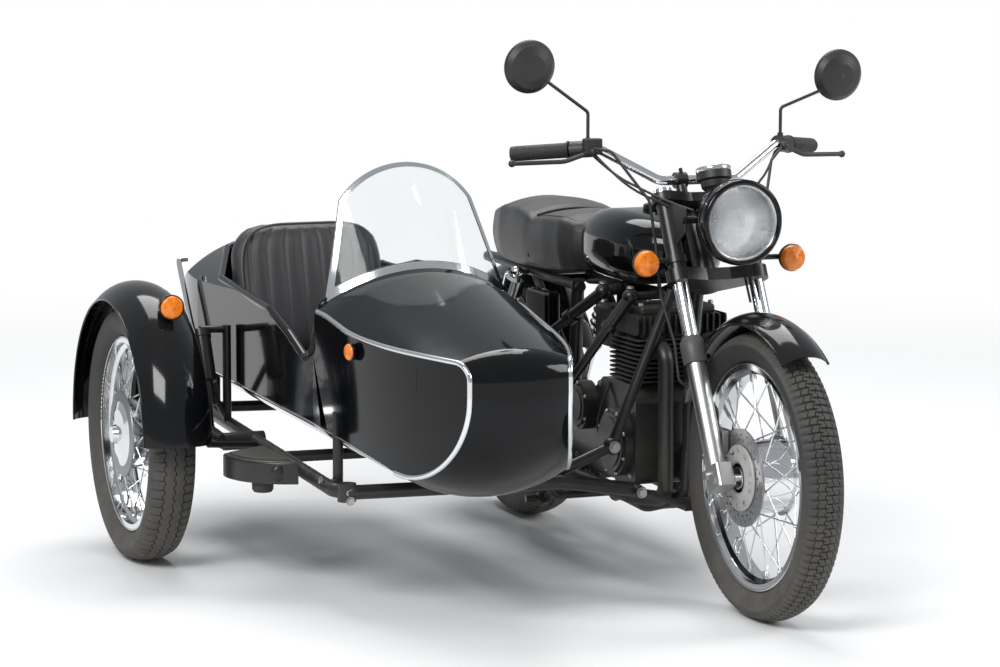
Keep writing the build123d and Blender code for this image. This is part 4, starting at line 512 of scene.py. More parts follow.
def tread_tyre(wheel, centre, radius, half, rim_radius, rim_half, steps, tread):
    """A tyre whose crown carries rows of tread with grooves, zigzag and cross cuts."""
    shoulder = half * SHOULDER_SHARE
    sidewall = sidewall_points(radius, half, rim_radius, rim_half)
    period = tread["period"]
    points = []
    for step in range(steps):
        angle = math.tau * step / steps
        phase = step % period
        ring = [(-x, r) for x, r in sidewall]
        for share, deep, sway, cut in tread["rows"]:
            shift = sway * (1 if phase < period / 2 else -1)
            x = (share + shift) * shoulder
            crown = radius - CROWN_DROP * (x / shoulder) ** 2
            depth = GROOVE_DEPTH if deep else 0.0
            if not deep and cut is not None:
                first, last = cut
                if first <= (phase + tread["stagger"] * (share > 0)) % period <= last:
                    depth = CUT_DEPTH
            ring.append((x, crown - depth))
        ring += [(x, r) for x, r in reversed(sidewall)]
        for x, r in ring:
            points.append(Vector(centre) + Vector((x, r * math.cos(angle), r * math.sin(angle))))
    count = len(ring)
    faces = []
    for step in range(steps):
        here = step * count
        there = ((step + 1) % steps) * count
        for row in range(count):
            after = (row + 1) % count
            faces.append((here + row, here + after, there + after, there + row))
    name = f"{wheel}_tyre_tread"
    piece = new_piece(name, mesh_from(name, points, faces), tyre_rubber, f"{wheel}_wheel", smooth=False)
    mesh = piece.data
    smooth_flags = []
    for polygon in mesh.polygons:
        place = mesh.vertices[polygon.vertices[0]].co - Vector(centre)
        low = math.hypot(place.y, place.z) < radius - CROWN_DROP - 0.012
        smooth_flags.append(abs(place.x) > shoulder or low)
    mesh.polygons.foreach_set("use_smooth", smooth_flags)
    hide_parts(f"{wheel}_tyre")


GROOVE_HALF = 0.028
GROOVE_WALL = 0.006


def tread_rows(ribs, sway, edge_cut, middle_cut):
    """Rows across the crown for a number of ribs parted by grooves, edges steep on both sides."""
    rows = []
    width = 2.0 / ribs
    for rib in range(ribs):
        low = -1.0 + rib * width
        high = low + width
        cut = edge_cut if rib in (0, ribs - 1) else middle_cut
        left = low + (GROOVE_HALF if rib else 0.0)
        right = high - (GROOVE_HALF if rib < ribs - 1 else 0.0)
        left_sway = sway if rib else 0.0
        right_sway = sway if rib < ribs - 1 else 0.0
        rows.append((left, False, left_sway, cut))
        rows.append(((left + right) / 2, False, (left_sway + right_sway) / 2, cut))
        rows.append((right, False, right_sway, cut))
        if rib < ribs - 1:
            rows.append((right + GROOVE_WALL, True, sway, None))
            rows.append((high + GROOVE_HALF - GROOVE_WALL, True, sway, None))
    return rows


FRONT_AXLE = at(0, 0, 0.330)
REAR_AXLE = at(0, 1.428, 0.316)
SIDE_AXLE = at(-1.130, 1.188, 0.316)
block_tread = {"rows": tread_rows(5, 0.045, (0, 1), (0, 0)), "period": 6, "stagger": 3}
rib_tread = {"rows": tread_rows(4, 0.04, (0, 0), None), "period": 8, "stagger": 4}
WHEELS = [
    # wheel, axle, tyre radius, half width, rim radius, rim half width, steps round, tread
    ("front", FRONT_AXLE, 0.330, 0.048, 0.258, 0.031, 660, block_tread),
    ("rear", REAR_AXLE, 0.316, 0.058, 0.239, 0.036, 640, rib_tread),
    ("sidecar", SIDE_AXLE, 0.316, 0.058, 0.239, 0.036, 640, rib_tread),
]
for row in WHEELS:
    tread_tyre(*row)

# Wheels: spoke nipples in the rims, and the tyre valves
SPOKES = 36
SPOKE_SPLAY = 0.08
NIPPLE = [(0.0034, 0.003), (0.0034, -0.009), (0.0024, -0.013)]
NIPPLE_DEPTH = 0.0255
VALVE = [(0.0045, 0.0), (0.0045, -0.022), (0.003, -0.026), (0, -0.026)]
VALVE_DEPTH = 0.024
VALVE_ANGLE = 0.55


def nipples_and_valve(body, centre, rim_radius):
    """Every spoke's nipple and the tyre's valve, as one piece."""
    parts = []
    reach = rim_radius - NIPPLE_DEPTH
    for count in range(SPOKES):
        side = 1 if count % 2 else -1
        angle = math.tau * count / SPOKES
        outward = Vector((side * SPOKE_SPLAY, math.cos(angle), math.sin(angle)))
        place = Vector(centre) + Vector((side * 0.005, 0, 0)) + outward * reach
        place -= Vector((side * SPOKE_SPLAY, 0, 0)) * reach
        parts.append(lathe(NIPPLE, place, outward, 8))
    inward = Vector((0.0, math.cos(VALVE_ANGLE), math.sin(VALVE_ANGLE)))
    stem = Vector(centre) + inward * (rim_radius - VALVE_DEPTH)
    parts.append(lathe(VALVE, stem, inward, 10))
    new_piece(f"{body}_nipples", mesh_from(f"{body}_nipples", *joined(parts)), bolt_steel, body)


for wheel, axle, _, _, rim_radius, *_ in WHEELS:
    nipples_and_valve(f"{wheel}_wheel", axle, rim_radius)


# Sidecar hub cover with its stepped ring and centre nut, and the front disc's bolted carrier
HUB_COVER = [(0.1060, 0.0450), (0.1060, 0.0475), (0.1040, 0.0495), (0.0640, 0.0505), (0.0625, 0.0530)]
HUB_COVER += [(0.0570, 0.0535), (0.0555, 0.0520), (0.0260, 0.0525), (0.0245, 0.0545), (0.0180, 0.0550)]
HUB_COVER += [(0.0175, 0.0590), (0.0, 0.0590)]
HUB_NUT = (hexagon_head, SIDE_AXLE + Vector((-0.0595, 0, 0)), RIGHT, 0.0115, 0.009)
CARRIER = [(0.0755, 0.0580), (0.0755, 0.0612), (0.0740, 0.0625), (0.0480, 0.0632), (0.0455, 0.0658)]
CARRIER += [(0.0360, 0.0658), (0.0340, 0.0635)]
CARRIER_FACE = 0.0624
CARRIER_BOLT_RING = 0.0650
CARRIER_BOLTS = 10

turned_piece("sidecar_hub_cover", HUB_COVER, SIDE_AXLE, RIGHT, satin_cover, "sidecar_wheel", 72)
fasteners("sidecar_hub_nut", "sidecar_wheel", [HUB_NUT])
turned_piece("disc_carrier", CARRIER, FRONT_AXLE, RIGHT, carrier_cast, "front_wheel", 72)
carrier_bolts = []
for step in range(CARRIER_BOLTS):
    angle = math.tau * (step + 0.5) / CARRIER_BOLTS
    foot = Vector((-CARRIER_FACE, CARRIER_BOLT_RING * math.cos(angle), CARRIER_BOLT_RING * math.sin(angle)))
    carrier_bolts.append((domed_head, FRONT_AXLE + foot, RIGHT, 0.0048, 0.0045))
fasteners("disc_carrier_bolts", "front_wheel", carrier_bolts)


# Sidecar seat: crowned pads with their sewn channels and piping
PAD_COLUMNS = 97
PAD_ROWS = 41
PAD_WIDTH = 0.400
PAD_BULGE = 0.014
CHANNELS = 7
CHANNEL_REACH = 0.82
CHANNEL_EDGES = [-CHANNEL_REACH + 2 * CHANNEL_REACH * count / CHANNELS for count in range(CHANNELS + 1)]


def seam_pull(share, width):
    """How strongly the nearest sewn seam pulls the cover in."""
    nearest = min(abs(share - edge) for edge in CHANNEL_EDGES)
    return math.exp(-((nearest / width) ** 2))


def pad_piece(name, turn, height, thick, corner, foot_share):
    """An upholstered pad: a crowned face with upright channels, rolled sides and a flatter back."""

    def outline(s, t):
        up = t * height / 2
        reach = PAD_WIDTH / 2
        high = height / 2 - corner
        if up > high:
            reach -= corner - math.sqrt(max(0.0, corner**2 - (up - high) ** 2))
        return s * reach, up

    def face(front):
        def place(u, v):
            s = 2 * u - 1
            t = 2 * v - 1
            s = math.sin(s * math.pi / 2) * 0.35 + s * 0.65
            x, y = outline(s, t)
            roll_x = (1 - abs(s) ** 7) ** 0.5
            roll_y = (1 - abs(t) ** 9) ** 0.5
            swell = (1 - s * s) ** 0.5 * (1 - t * t) ** 0.35
            depth = thick / 2 * roll_x * roll_y + PAD_BULGE * swell
            if front and abs(s) < 0.86 and t < 0.93:
                fade = min(1.0, (0.93 - t) / 0.1) * min(1.0, (t + 1.0) / 0.08)
                arch = 0.0045 * (1 - seam_pull(s, 0.11))
                seam = 0.0065 * seam_pull(s, 0.018)
                sewn = foot_share + (1.0 - foot_share) * min(1.0, max(0.0, (t + 0.35) / 0.8))
                depth += (arch - seam) * max(0.0, fade) * sewn
            return turn @ Vector((x, y, depth if front else -depth * 0.7))

        return place

    sheets = [sheet_points(PAD_COLUMNS, PAD_ROWS, face(front)) for front in (True, False)]
    mesh = mesh_from(name, *both_sheets(*sheets))
    welded = bmesh.new()
    welded.from_mesh(mesh)
    bmesh.ops.remove_doubles(welded, verts=welded.verts, dist=0.0006)
    bmesh.ops.recalc_face_normals(welded, faces=welded.faces)
    welded.to_mesh(mesh)
    welded.free()
    piece = new_piece(name, mesh, tub_vinyl, "machine")
    return piece


def pad_piping(name, turn, height, corner, lift):
    """A piped edge round the face of a pad, open at its foot."""
    half = PAD_WIDTH / 2 * 0.93
    top = height / 2 * 0.97
    low = -height / 2
    inner = corner * 0.9
    route = [(-half, low), (-half, 0.0), (-half, top - inner), (-half + inner * 0.3, top - inner * 0.3)]
    route += [(-half + inner, top), (0.0, top), (half - inner, top), (half - inner * 0.3, top - inner * 0.3)]
    route += [(half, top - inner), (half, 0.0), (half, low)]
    wire(name, [turn @ Vector((x, y, lift)) for x, y in route], 0.0035, piping_grey, "machine")


def leaning(place, lean):
    """A pad's own frame: X across the machine, Y up along the pad, Z out of its face, leaning back."""
    return Matrix.Translation(place) @ Matrix.Rotation(math.radians(90.0 - lean), 4, "X")


BACKREST_TURN = leaning(at(-0.620, 1.402, 0.628), 14.0)
BACKREST_HEIGHT = 0.345
BACKREST_CORNER = 0.088
CUSHION_TURN = leaning(at(-0.620, 1.080, 0.420), 87.0)
tub_back = pad_piece("tub_backrest", BACKREST_TURN, BACKREST_HEIGHT, 0.072, BACKREST_CORNER, 0.25)
pad_piping("tub_backrest_piping", BACKREST_TURN, BACKREST_HEIGHT, BACKREST_CORNER, 0.040)
tub_cushion = pad_piece("tub_cushion", CUSHION_TURN, 0.420, 0.090, 0.040, 1.0)
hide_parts("sidecar_seat")
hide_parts("sidecar_seat")

# Rider's seat: a cover drawn over sections along the machine
SEAT_TABLE = [
    # along, half width, foot, top, crown
    (0.853, 0.080, 0.716, 0.818, 0.010),
    (0.880, 0.104, 0.712, 0.832, 0.014),
    (0.930, 0.120, 0.706, 0.840, 0.016),
    (1.020, 0.128, 0.702, 0.836, 0.016),
    (1.090, 0.130, 0.700, 0.828, 0.016),
    (1.130, 0.131, 0.699, 0.838, 0.018),
    (1.200, 0.130, 0.698, 0.846, 0.020),
    (1.300, 0.127, 0.700, 0.842, 0.020),
    (1.370, 0.117, 0.706, 0.828, 0.016),
    (1.408, 0.098, 0.716, 0.806, 0.010),
    (1.420, 0.070, 0.728, 0.786, 0.004),
]
SEAT_FRONT = SEAT_TABLE[0][0]
SEAT_REAR = SEAT_TABLE[-1][0]
SEAT_ROLL = 0.020
SEAT_TOP_SHARE = 0.62
SEAT_ROLL_SHARE = 0.3
SEAT_SEAM = 1.100
SEAT_COLUMNS = 73
SEAT_ROWS = 61


def seat_section(along):
    """Half width, foot, top and crown of the seat at a distance along, eased between the rows."""
    for low, high in zip(SEAT_TABLE, SEAT_TABLE[1:]):
        if along <= high[0]:
            share = (along - low[0]) / (high[0] - low[0])
            share = min(1.0, max(0.0, share))
            share = share * share * (3 - 2 * share) * 0.5 + share * 0.5
            return [a + share * (b - a) for a, b in zip(low[1:], high[1:])]
    return list(SEAT_TABLE[-1][1:])


def seat_place(along, around):
    """A place on the seat's cover: around runs from the right foot over the top to the left."""
    half, foot, top, crown = seat_section(along)
    s = 2 * around - 1
    if abs(s) < SEAT_TOP_SHARE:
        x = s / SEAT_TOP_SHARE * (half - SEAT_ROLL)
        z = top + crown * (1 - (s / SEAT_TOP_SHARE) ** 2)
    else:
        share = (abs(s) - SEAT_TOP_SHARE) / (1 - SEAT_TOP_SHARE)
        angle = min(1.0, share / SEAT_ROLL_SHARE) * math.pi / 2
        x = half - SEAT_ROLL + SEAT_ROLL * math.sin(angle)
        z = top - SEAT_ROLL * (1 - math.cos(angle))
        if share > SEAT_ROLL_SHARE:
            down = (share - SEAT_ROLL_SHARE) / (1 - SEAT_ROLL_SHARE)
            z -= down * (top - SEAT_ROLL - foot)
            x += 0.006 * math.sin(down * math.pi) - 0.010 * down**2
        x = math.copysign(x, s)
    return at(x, along, z)


def seat_cover(u, v):
    """The cover with the seam across its top pulled in."""
    along = SEAT_FRONT + u * (SEAT_REAR - SEAT_FRONT)
    place = seat_place(along, v)
    seam = math.exp(-(((along - SEAT_SEAM) / 0.008) ** 2)) * 0.004
    return place - Vector((0, 0, seam)) if abs(2 * v - 1) < 0.7 else place


saddle_points, saddle_faces = sheet_points(SEAT_COLUMNS, SEAT_ROWS, seat_cover)
far_edge = (SEAT_ROWS - 1) * SEAT_COLUMNS
saddle_faces += [(i + 1, i, far_edge + i, far_edge + i + 1) for i in range(SEAT_COLUMNS - 1)]
saddle_faces.append(tuple(j * SEAT_COLUMNS for j in range(SEAT_ROWS)))
saddle_faces.append(tuple(j * SEAT_COLUMNS + SEAT_COLUMNS - 1 for j in reversed(range(SEAT_ROWS))))
saddle_mesh = mesh_from("saddle_cover", saddle_points, saddle_faces)
saddle = new_piece("saddle_cover", saddle_mesh, seat_vinyl, "machine")
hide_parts("seat")
for name, edge, turn_down, foot in (("right", 0.19, 0.13, 0.03), ("left", 0.81, 0.87, 0.97)):
    seam_route = [seat_place(0.858 + 0.04 * step, edge) for step in range(6)]
    seam_route += [seat_place(1.075, edge), seat_place(1.096, turn_down), seat_place(1.103, foot)]
    wire(f"saddle_piping_{name}", seam_route, 0.0032, black_rubber, "machine")
seam_line = [seat_place(SEAT_SEAM, 0.20 + 0.6 * step / 10) for step in range(11)]
wire("saddle_trim", seam_line, 0.0028, black_rubber, "machine")


# Headlamp: a rolled rim, a fluted lens, a silvered bowl and its bulb, in front of the painted shell
LAMP = at(0, 0.123, 0.897)
LAMP_RIM = [(0.0868, -0.018), (0.0868, 0.004), (0.0885, 0.0065), (0.0935, 0.0075), (0.0982, 0.004)]
LAMP_RIM += [(0.0992, -0.004), (0.0985, -0.014), (0.0965, -0.0275), (0.0985, -0.028)]
LAMP_BOWL = [(0.0860, 0.001), (0.080, -0.004), (0.064, -0.012), (0.040, -0.0185), (0.014, -0.0205)]
LAMP_BOWL += [(0.0, -0.0206)]
LAMP_BULB = [(0.013, -0.020), (0.013, -0.012), (0.010, -0.006), (0.006, 0.001), (0.0, 0.003)]
LENS_RADIUS = 0.0862
LENS_RINGS = 49
LENS_SIDES = 192
LENS_WALL = 0.0042
FLUTE_PITCH = 0.0092
FLUTE_DEPTH = 0.0024
FLUTE_BAND = 0.03
FLUTE_BAND_DEPTH = 0.0007

turned_piece("lamp_rim", LAMP_RIM, LAMP, FRONT, gloss_black, "steering", 96)
turned_piece("lamp_bowl", LAMP_BOWL, LAMP, FRONT, silvering, "steering", 72)
turned_piece("lamp_bulb", LAMP_BULB, LAMP, FRONT, lamp_glass, "steering", 24)


def lens_sheet(front):
    """The lens's plain outer dome or its inner face with upright flutes."""
    points = []
    for ring in range(LENS_RINGS):
        share = max(ring / (LENS_RINGS - 1), 0.002)
        dome = 0.0125 * (1 - share * share) + 0.0005
        for step in range(LENS_SIDES):
            angle = math.tau * (step / LENS_SIDES)
            x = LENS_RADIUS * share * math.cos(angle)
            z = LENS_RADIUS * share * math.sin(angle)
            depth = dome if front else dome - LENS_WALL
            if not front and ring < LENS_RINGS - 3:
                depth += FLUTE_DEPTH * abs(math.sin(x / FLUTE_PITCH * math.pi / 2))
                depth += FLUTE_BAND_DEPTH if abs(z) < FLUTE_BAND else 0.0
            points.append(LAMP + Vector((x, -depth, z)))
    return points, ring_faces(LENS_RINGS, LENS_SIDES)


lens_mesh = mesh_from("lamp_lens", *both_sheets(lens_sheet(True), lens_sheet(False)))
lamp_lens = new_piece("lamp_lens", lens_mesh, lamp_glass, "steering")
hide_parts("headlamp_lens")


# Front turn signals: black body and a ringed amber lens, on their stalks
SIGNAL_RADIUS = 0.032
SIGNAL_BODY = [(0, -0.006), (0.42, -0.004), (0.62, 0.004), (0.9, 0.018)]
SIGNAL_BODY += [(1.0, 0.026), (1.02, 0.033), (0.99, 0.0345), (0.96, 0.033)]
SIGNAL_LENS = [(0.965, 0.030), (0.965, 0.036), (0.94, 0.0405), (0.90, 0.0425)]
for ring in range(7):
    SIGNAL_LENS += [(0.86 - 0.115 * ring, 0.0455 + 0.0012 * ring)]
    SIGNAL_LENS += [(0.86 - 0.115 * ring - 0.045, 0.0475 + 0.0012 * ring)]
SIGNAL_LENS.append((0, 0.0545))

for side, name in SIDES:
    root = at(side * 0.121, 0.275, 0.798)
    cup = at(side * 0.187, 0.275, 0.798)
    cup_profile = [(SIGNAL_RADIUS * share, height) for share, height in SIGNAL_BODY]
    lens_profile = [(SIGNAL_RADIUS * share, height) for share, height in SIGNAL_LENS]
    piece = f"front_signal_{name}"
    cup_piece = turned_piece(f"{piece}_body", cup_profile, cup, FRONT, plastic_black, "steering", 40)
    lens_piece = turned_piece(f"{piece}_lens", lens_profile, cup, FRONT, amber_lens, "steering")
    stalk = [root, (root + cup) / 2, cup + Vector((0, -0.006, 0))]
    wire(f"{piece}_stalk", stalk, 0.0065, frame_black, "steering", 6)
    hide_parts("front_signals")
    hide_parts("front_signals")


# Tail lamp and rear turn signals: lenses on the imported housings
TAIL_LENS = at(0, 1.795, 0.562)
TAIL_LENS_HALF = (0.054, 0.029)
TAIL_LENS_RINGS = [(1.0, -0.002), (1.0, 0.006), (0.95, 0.0105), (0.86, 0.0125), (0.5, 0.0145), (0.0, 0.015)]
TAIL_LENS_SIDES = 64
REAR_SIGNAL = [(0.0325, 0.026), (0.0325, 0.0365), (0.0290, 0.0415), (0.0205, 0.0505)]
REAR_SIGNAL += [(0.0100, 0.0535), (0.0, 0.0545)]


def oblong(turn):
    """The edge of the tail lens, a rectangle with round corners: x and z at a share of a turn."""
    across, up = math.cos(math.tau * turn), math.sin(math.tau * turn)
    reach = (abs(across) ** 5 + abs(up) ** 5) ** -0.2
    return TAIL_LENS_HALF[0] * across * reach, TAIL_LENS_HALF[1] * up * reach


tail_points = []
for share, height in TAIL_LENS_RINGS:
    for step in range(TAIL_LENS_SIDES):
        x, z = oblong(step / TAIL_LENS_SIDES)
        tail_points.append(TAIL_LENS + Vector((x * share, height, z * share)))
tail_faces = ring_faces(len(TAIL_LENS_RINGS), TAIL_LENS_SIDES, flip=True)
new_piece("tail_lens", mesh_from("tail_lens", tail_points, tail_faces), red_lens, "machine")
for side, name in SIDES:
    cup = at(side * 0.140, 1.727, 0.570)
    turned_piece(f"rear_signal_{name}_lens", REAR_SIGNAL, cup, BACK, amber_lens, "machine", 40)


# Sidecar lamps: black shells with stepped amber domes on the mudguard and the hull
def lamp_dome(radius, height):
    """The rings of prisms moulded into a round coloured lens."""
    profile = [(radius, 0.0), (radius * 0.99, height * 0.35), (radius * 0.93, height * 0.6)]
    for ring in range(6):
        reach = radius * (0.86 - 0.14 * ring)
        profile.append((reach, height * (0.68 + 0.05 * ring)))
        profile.append((reach - radius * 0.06, height * (0.76 + 0.04 * ring)))
    return profile + [(0.0, height)]


HULL_OUTWARD = (-0.985, -0.17, 0)
GUARD_SHELL = [(0.0, 0.066), (0.010, 0.063), (0.019, 0.052), (0.0255, 0.034), (0.0290, 0.012)]
GUARD_SHELL += [(0.0308, 0.002), (0.0310, -0.002), (0.0298, -0.0040), (0.0282, -0.0030), (0.0280, 0.004)]
MARKER_SHELL = [(0.0, 0.016), (0.0150, 0.014), (0.0200, 0.008), (0.0212, 0.001), (0.0208, -0.0015)]
MARKER_SHELL += [(0.0190, -0.002), (0.0186, 0.002)]
TAIL_SHELL = [(0.0, 0.060), (0.010, 0.056), (0.018, 0.040), (0.0235, 0.014), (0.0245, 0.0)]
TAIL_SHELL += [(0.0235, -0.002), (0.0225, 0.002)]
SIDECAR_LAMPS = [
    # name, place, direction, shell of radius and depth, lens radius, lens height
    ("guard_front_lamp", at(-1.115, 0.949, 0.655), FRONT, GUARD_SHELL, 0.0280, 0.014),
    ("hull_marker", at(-0.8685, 0.358, 0.611), HULL_OUTWARD, MARKER_SHELL, 0.0188, 0.009),
    ("guard_rear_lamp", at(-1.115, 1.552, 0.540), BACK, TAIL_SHELL, 0.0226, 0.010),
]
for name, place, direction, shell, reach, height in SIDECAR_LAMPS:
    shell_profile = [(radius, -back) for radius, back in shell]
    shell_piece = turned_piece(f"{name}_shell", shell_profile, place, direction, gloss_black, "machine")
    dome = lamp_dome(reach, height)
    lens_piece = turned_piece(f"{name}_lens", dome, place, direction, amber_lens, "machine")
    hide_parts("sidecar_lamps")
    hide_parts("sidecar_lamps")


# Fork: a dark dust cover on each slider's collar
RAKE = math.radians(27.0)
FORK_LEAD = 0.032
FORK_HALF = 0.097
SLIDER_TOP = 0.303
DUST_COVER = [(0.0180, 0.034), (0.0215, 0.033), (0.0245, 0.026), (0.0285, 0.022)]
DUST_COVER += [(0.0290, 0.004), (0.0285, -0.030), (0.0270, -0.033)]


def fork(x, along):
    """A place on the raked fork, from the axle up its legs."""
    return at(x, FORK_LEAD / math.cos(RAKE) + along * math.sin(RAKE), 0.330 + along * math.cos(RAKE))


for side, name in SIDES:
    leg = fork(side * FORK_HALF, SLIDER_TOP)
    leg_up = fork(side * FORK_HALF, SLIDER_TOP + 0.1) - leg
    turned_piece(f"dust_cover_{name}", DUST_COVER, leg, leg_up, fork_grey, "steering", 40)


# Mirrors: a black rim and a clear glass on the rider's side
MIRROR_FACING = Vector((0, 1, 0.1)).normalized()
MIRROR_PLACES = {"right": at(-0.412, 0.395, 1.245), "left": at(0.402, 0.430, 1.210)}
MIRROR_RIM = [(0.0565, 0.0125), (0.0580, 0.0150), (0.0605, 0.0150), (0.0622, 0.0125)]
MIRROR_RIM += [(0.0622, 0.0080), (0.0605, 0.0050)]
MIRROR_GLASS = [(0.0575, 0.0124), (0.0300, 0.0132), (0.0, 0.0135)]
for name, place in MIRROR_PLACES.items():
    turned_piece(f"mirror_rim_{name}", MIRROR_RIM, place, MIRROR_FACING, plastic_black, "steering", 64)
    turned_piece(f"mirror_glass_{name}", MIRROR_GLASS, place, MIRROR_FACING, mirror_glass, "steering")


# Gauge: a bright bezel, the blank dial with its marks and a needle
GAUGE_FOOT = at(0, 0.268, 0.9588)
GAUGE_UP = Vector((0, 0.30, 1)).normalized()
GAUGE_BEZEL = [(0.0365, 0.0490), (0.0375, 0.0530), (0.0395, 0.0545), (0.0415, 0.0530)]
GAUGE_BEZEL += [(0.0418, 0.0480), (0.0412, 0.0440)]
MARK_HEIGHT = 0.0496
MARK_COUNT = 24
NEEDLE = [(-0.0015, -0.006, 0.0502), (0.0015, -0.006, 0.0502), (-0.018, 0.020, 0.0502)]
turned_piece("gauge_bezel", GAUGE_BEZEL, GAUGE_FOOT, GAUGE_UP, chrome, "steering", 64)
turned_piece("gauge_dial", [(0.0360, 0.0492), (0.0, 0.0492)], GAUGE_FOOT, GAUGE_UP, dial_black, "steering")


def mark_points(reach, angle, spreads):
    """Two corners of a dial mark at a reach from the middle."""
    return [(reach * math.cos(angle + d), reach * math.sin(angle + d), MARK_HEIGHT) for d in spreads]


gauge_turn = facing(GAUGE_UP)
marks = []
for count in range(MARK_COUNT + 1):
    angle = math.radians(-220 + 260 * count / MARK_COUNT)
    inner = 0.0285 if count % 3 == 0 else 0.0310
    marks.append(mark_points(inner, angle, (-0.018, 0.018)) + mark_points(0.0340, angle, (0.015, -0.015)))
marks.append(NEEDLE)
dial_shapes = []
for shape in marks:
    corners = [gauge_turn @ Vector(place) + GAUGE_FOOT for place in shape]
    dial_shapes.append((corners, [tuple(range(len(shape)))]))
new_piece("gauge_marks", mesh_from("gauge_marks", *joined(dial_shapes)), dial_white, "steering", smooth=False)
turned_piece("gauge_glass", [(0.0362, 0.0515), (0.0, 0.0520)], GAUGE_FOOT, GAUGE_UP, lamp_glass, "steering")


# Grips: moulded rings round the rubber
GRIP_RIBS = 26
for side, name in SIDES:
    start = at(side * 0.284, 0.468, 1.0459)
    run = at(side * 0.3945, 0.5586, 1.0331) - start
    length = run.length
    pitch = (length - 0.016) / GRIP_RIBS
    profile = [(0.0172, 0.0), (0.0215, 0.001), (0.0215, 0.005), (0.0176, 0.0065)]
    for rib in range(GRIP_RIBS):
        foot = 0.009 + (length - 0.016) * rib / GRIP_RIBS
        profile += [(0.0170, foot), (0.0181, foot + pitch * 0.25)]
        profile += [(0.0181, foot + pitch * 0.6), (0.0170, foot + pitch * 0.85)]
    profile += [(0.0178, length - 0.005), (0.0168, length), (0.0105, length + 0.0004)]
    grip = turned_piece(f"grip_{name}", profile, start, run, black_rubber, "steering", 32)
    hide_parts("grips")


# Bright beads along the hull's creases: the crease is where the crowned form meets the outline from above
HULL_MIDDLE = -0.620
HULL_HALF = 0.250
HULL_CROWN = 0.353
NOSE_Y = -0.058
NOSE_HALF = 0.118
SHOULDER_Y = 0.400
SHOULDER_HALF = 0.240
SIDE_OUTLINE = [
    # along, up, bend radius of the hull's middle line
    (1.7200, 0.745, 0.150),
    (0.5610, 0.781, 0.600),
    (-0.0800, 0.645, 0.070),
    (-0.0800, 0.290, 0.260),
    (1.5000, 0.325, 0.200),
    (1.9027, 0.520, 0.060),
]
BEND_STEPS = 8


def circle_through(first, second, third):
    """The centre and radius of the circle through three places of a plane."""
    ax, ay = first
    bx, by = second
    cx, cy = third
    scale = 2 * (ax * (by - cy) + bx * (cy - ay) + cx * (ay - by))
    a2, b2, c2 = ax * ax + ay * ay, bx * bx + by * by, cx * cx + cy * cy
    x = (a2 * (by - cy) + b2 * (cy - ay) + c2 * (ay - by)) / scale
    y = (a2 * (cx - bx) + b2 * (ax - cx) + c2 * (bx - ax)) / scale
    return Vector((x, y)), math.hypot(ax - x, ay - y)


NOSE_CENTRE, NOSE_RADIUS = circle_through((NOSE_Y, NOSE_HALF), (0.200, 0.206), (SHOULDER_Y, SHOULDER_HALF))


def half_width(along):
    """Half the hull's width at a distance along, from the nose to the hips."""
    if along < NOSE_Y:
        return NOSE_HALF
    if along < SHOULDER_Y:
        return NOSE_CENTRE.y + math.sqrt(NOSE_RADIUS**2 - (along - NOSE_CENTRE.x) ** 2)
    return min(HULL_HALF, SHOULDER_HALF + (along - SHOULDER_Y) / 22)


def outline_stops(corners, spacing):
    """Places along the middle line and the way inwards there, its corners bent to their radii."""
    stops = []
    here = Vector(corners[0][:2])
    for (*corner, bend), (*after, _) in zip(corners[1:], corners[2:]):
        corner = Vector(corner)
        along = (corner - here).normalized()
        onward = (Vector(after) - corner).normalized()
        cut = bend * math.tan(along.angle(onward) / 2)
        inward = Vector((-along.y, along.x))
        next_inward = Vector((-onward.y, onward.x))
        straight_end = corner - along * cut
        count = max(2, int((straight_end - here).length / spacing))
        stops += [(here + (straight_end - here) * step / count, inward) for step in range(count)]
        centre = straight_end + inward * bend
        for step in range(BEND_STEPS + 1):
            share = step / BEND_STEPS
            turned = (inward * (1 - share) + next_inward * share).normalized()
            stops.append((centre - turned * bend, turned))
        here = corner + onward * (cut + spacing)
    return stops


def crease_point(side, place, inward):
    """The place on one of the hull's creases that belongs to a place on its middle line."""
    half = half_width(place.x)
    for _ in range(5):
        on_crease = place + inward * (HULL_CROWN - math.sqrt(HULL_CROWN**2 - half**2))
        half = half_width(on_crease.x)
    return at(HULL_MIDDLE + side * half, on_crease.x, on_crease.y)


stops = outline_stops(SIDE_OUTLINE, 0.03)
nose_stops = [stop for stop in stops if stop[0].x < (0.590 if stop[0].y > 0.5 else 0.200)]
belly_stops = [stop for stop in stops if stop[0].y < 0.4 and 0.190 < stop[0].x < 1.45]
HULL_SIDES = ((-1, "outer"), (1, "inner"))
for side, name in HULL_SIDES:
    nose_crease = [crease_point(side, *stop) for stop in nose_stops]
    belly_crease = [crease_point(side, *stop) for stop in belly_stops]
    bead = wire(f"hull_bead_{name}", nose_crease, 0.0062, chrome, "machine")
    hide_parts("hull_trim")
    wire(f"belly_bead_{name}", belly_crease, 0.0026, chrome, "machine")
rail_route = [(-0.866, 1.664, 0.690), (-0.886, 1.663, 0.690), (-0.892, 1.658, 0.684), (-0.892, 1.594, 0.601)]
rail_route += [(-0.892, 1.534, 0.520), (-0.887, 1.529, 0.513), (-0.866, 1.526, 0.512)]
rail = wire("grab_rail", [at(*place) for place in rail_route], 0.0070, chrome, "machine")
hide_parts("hull_trim")

# Hull shell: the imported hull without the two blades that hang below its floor's edges, and with a sheet
# over the slot that the floor has between them and over the fine slit in each side of the nose
BLADE_TOP = 0.4082
BLADE_INNER = 0.2405
UNDER_FLOOR = 0.294
FLOOR_FRONT = 0.560
FLOOR_REAR = 0.628
FLOOR_HALF = 0.2495


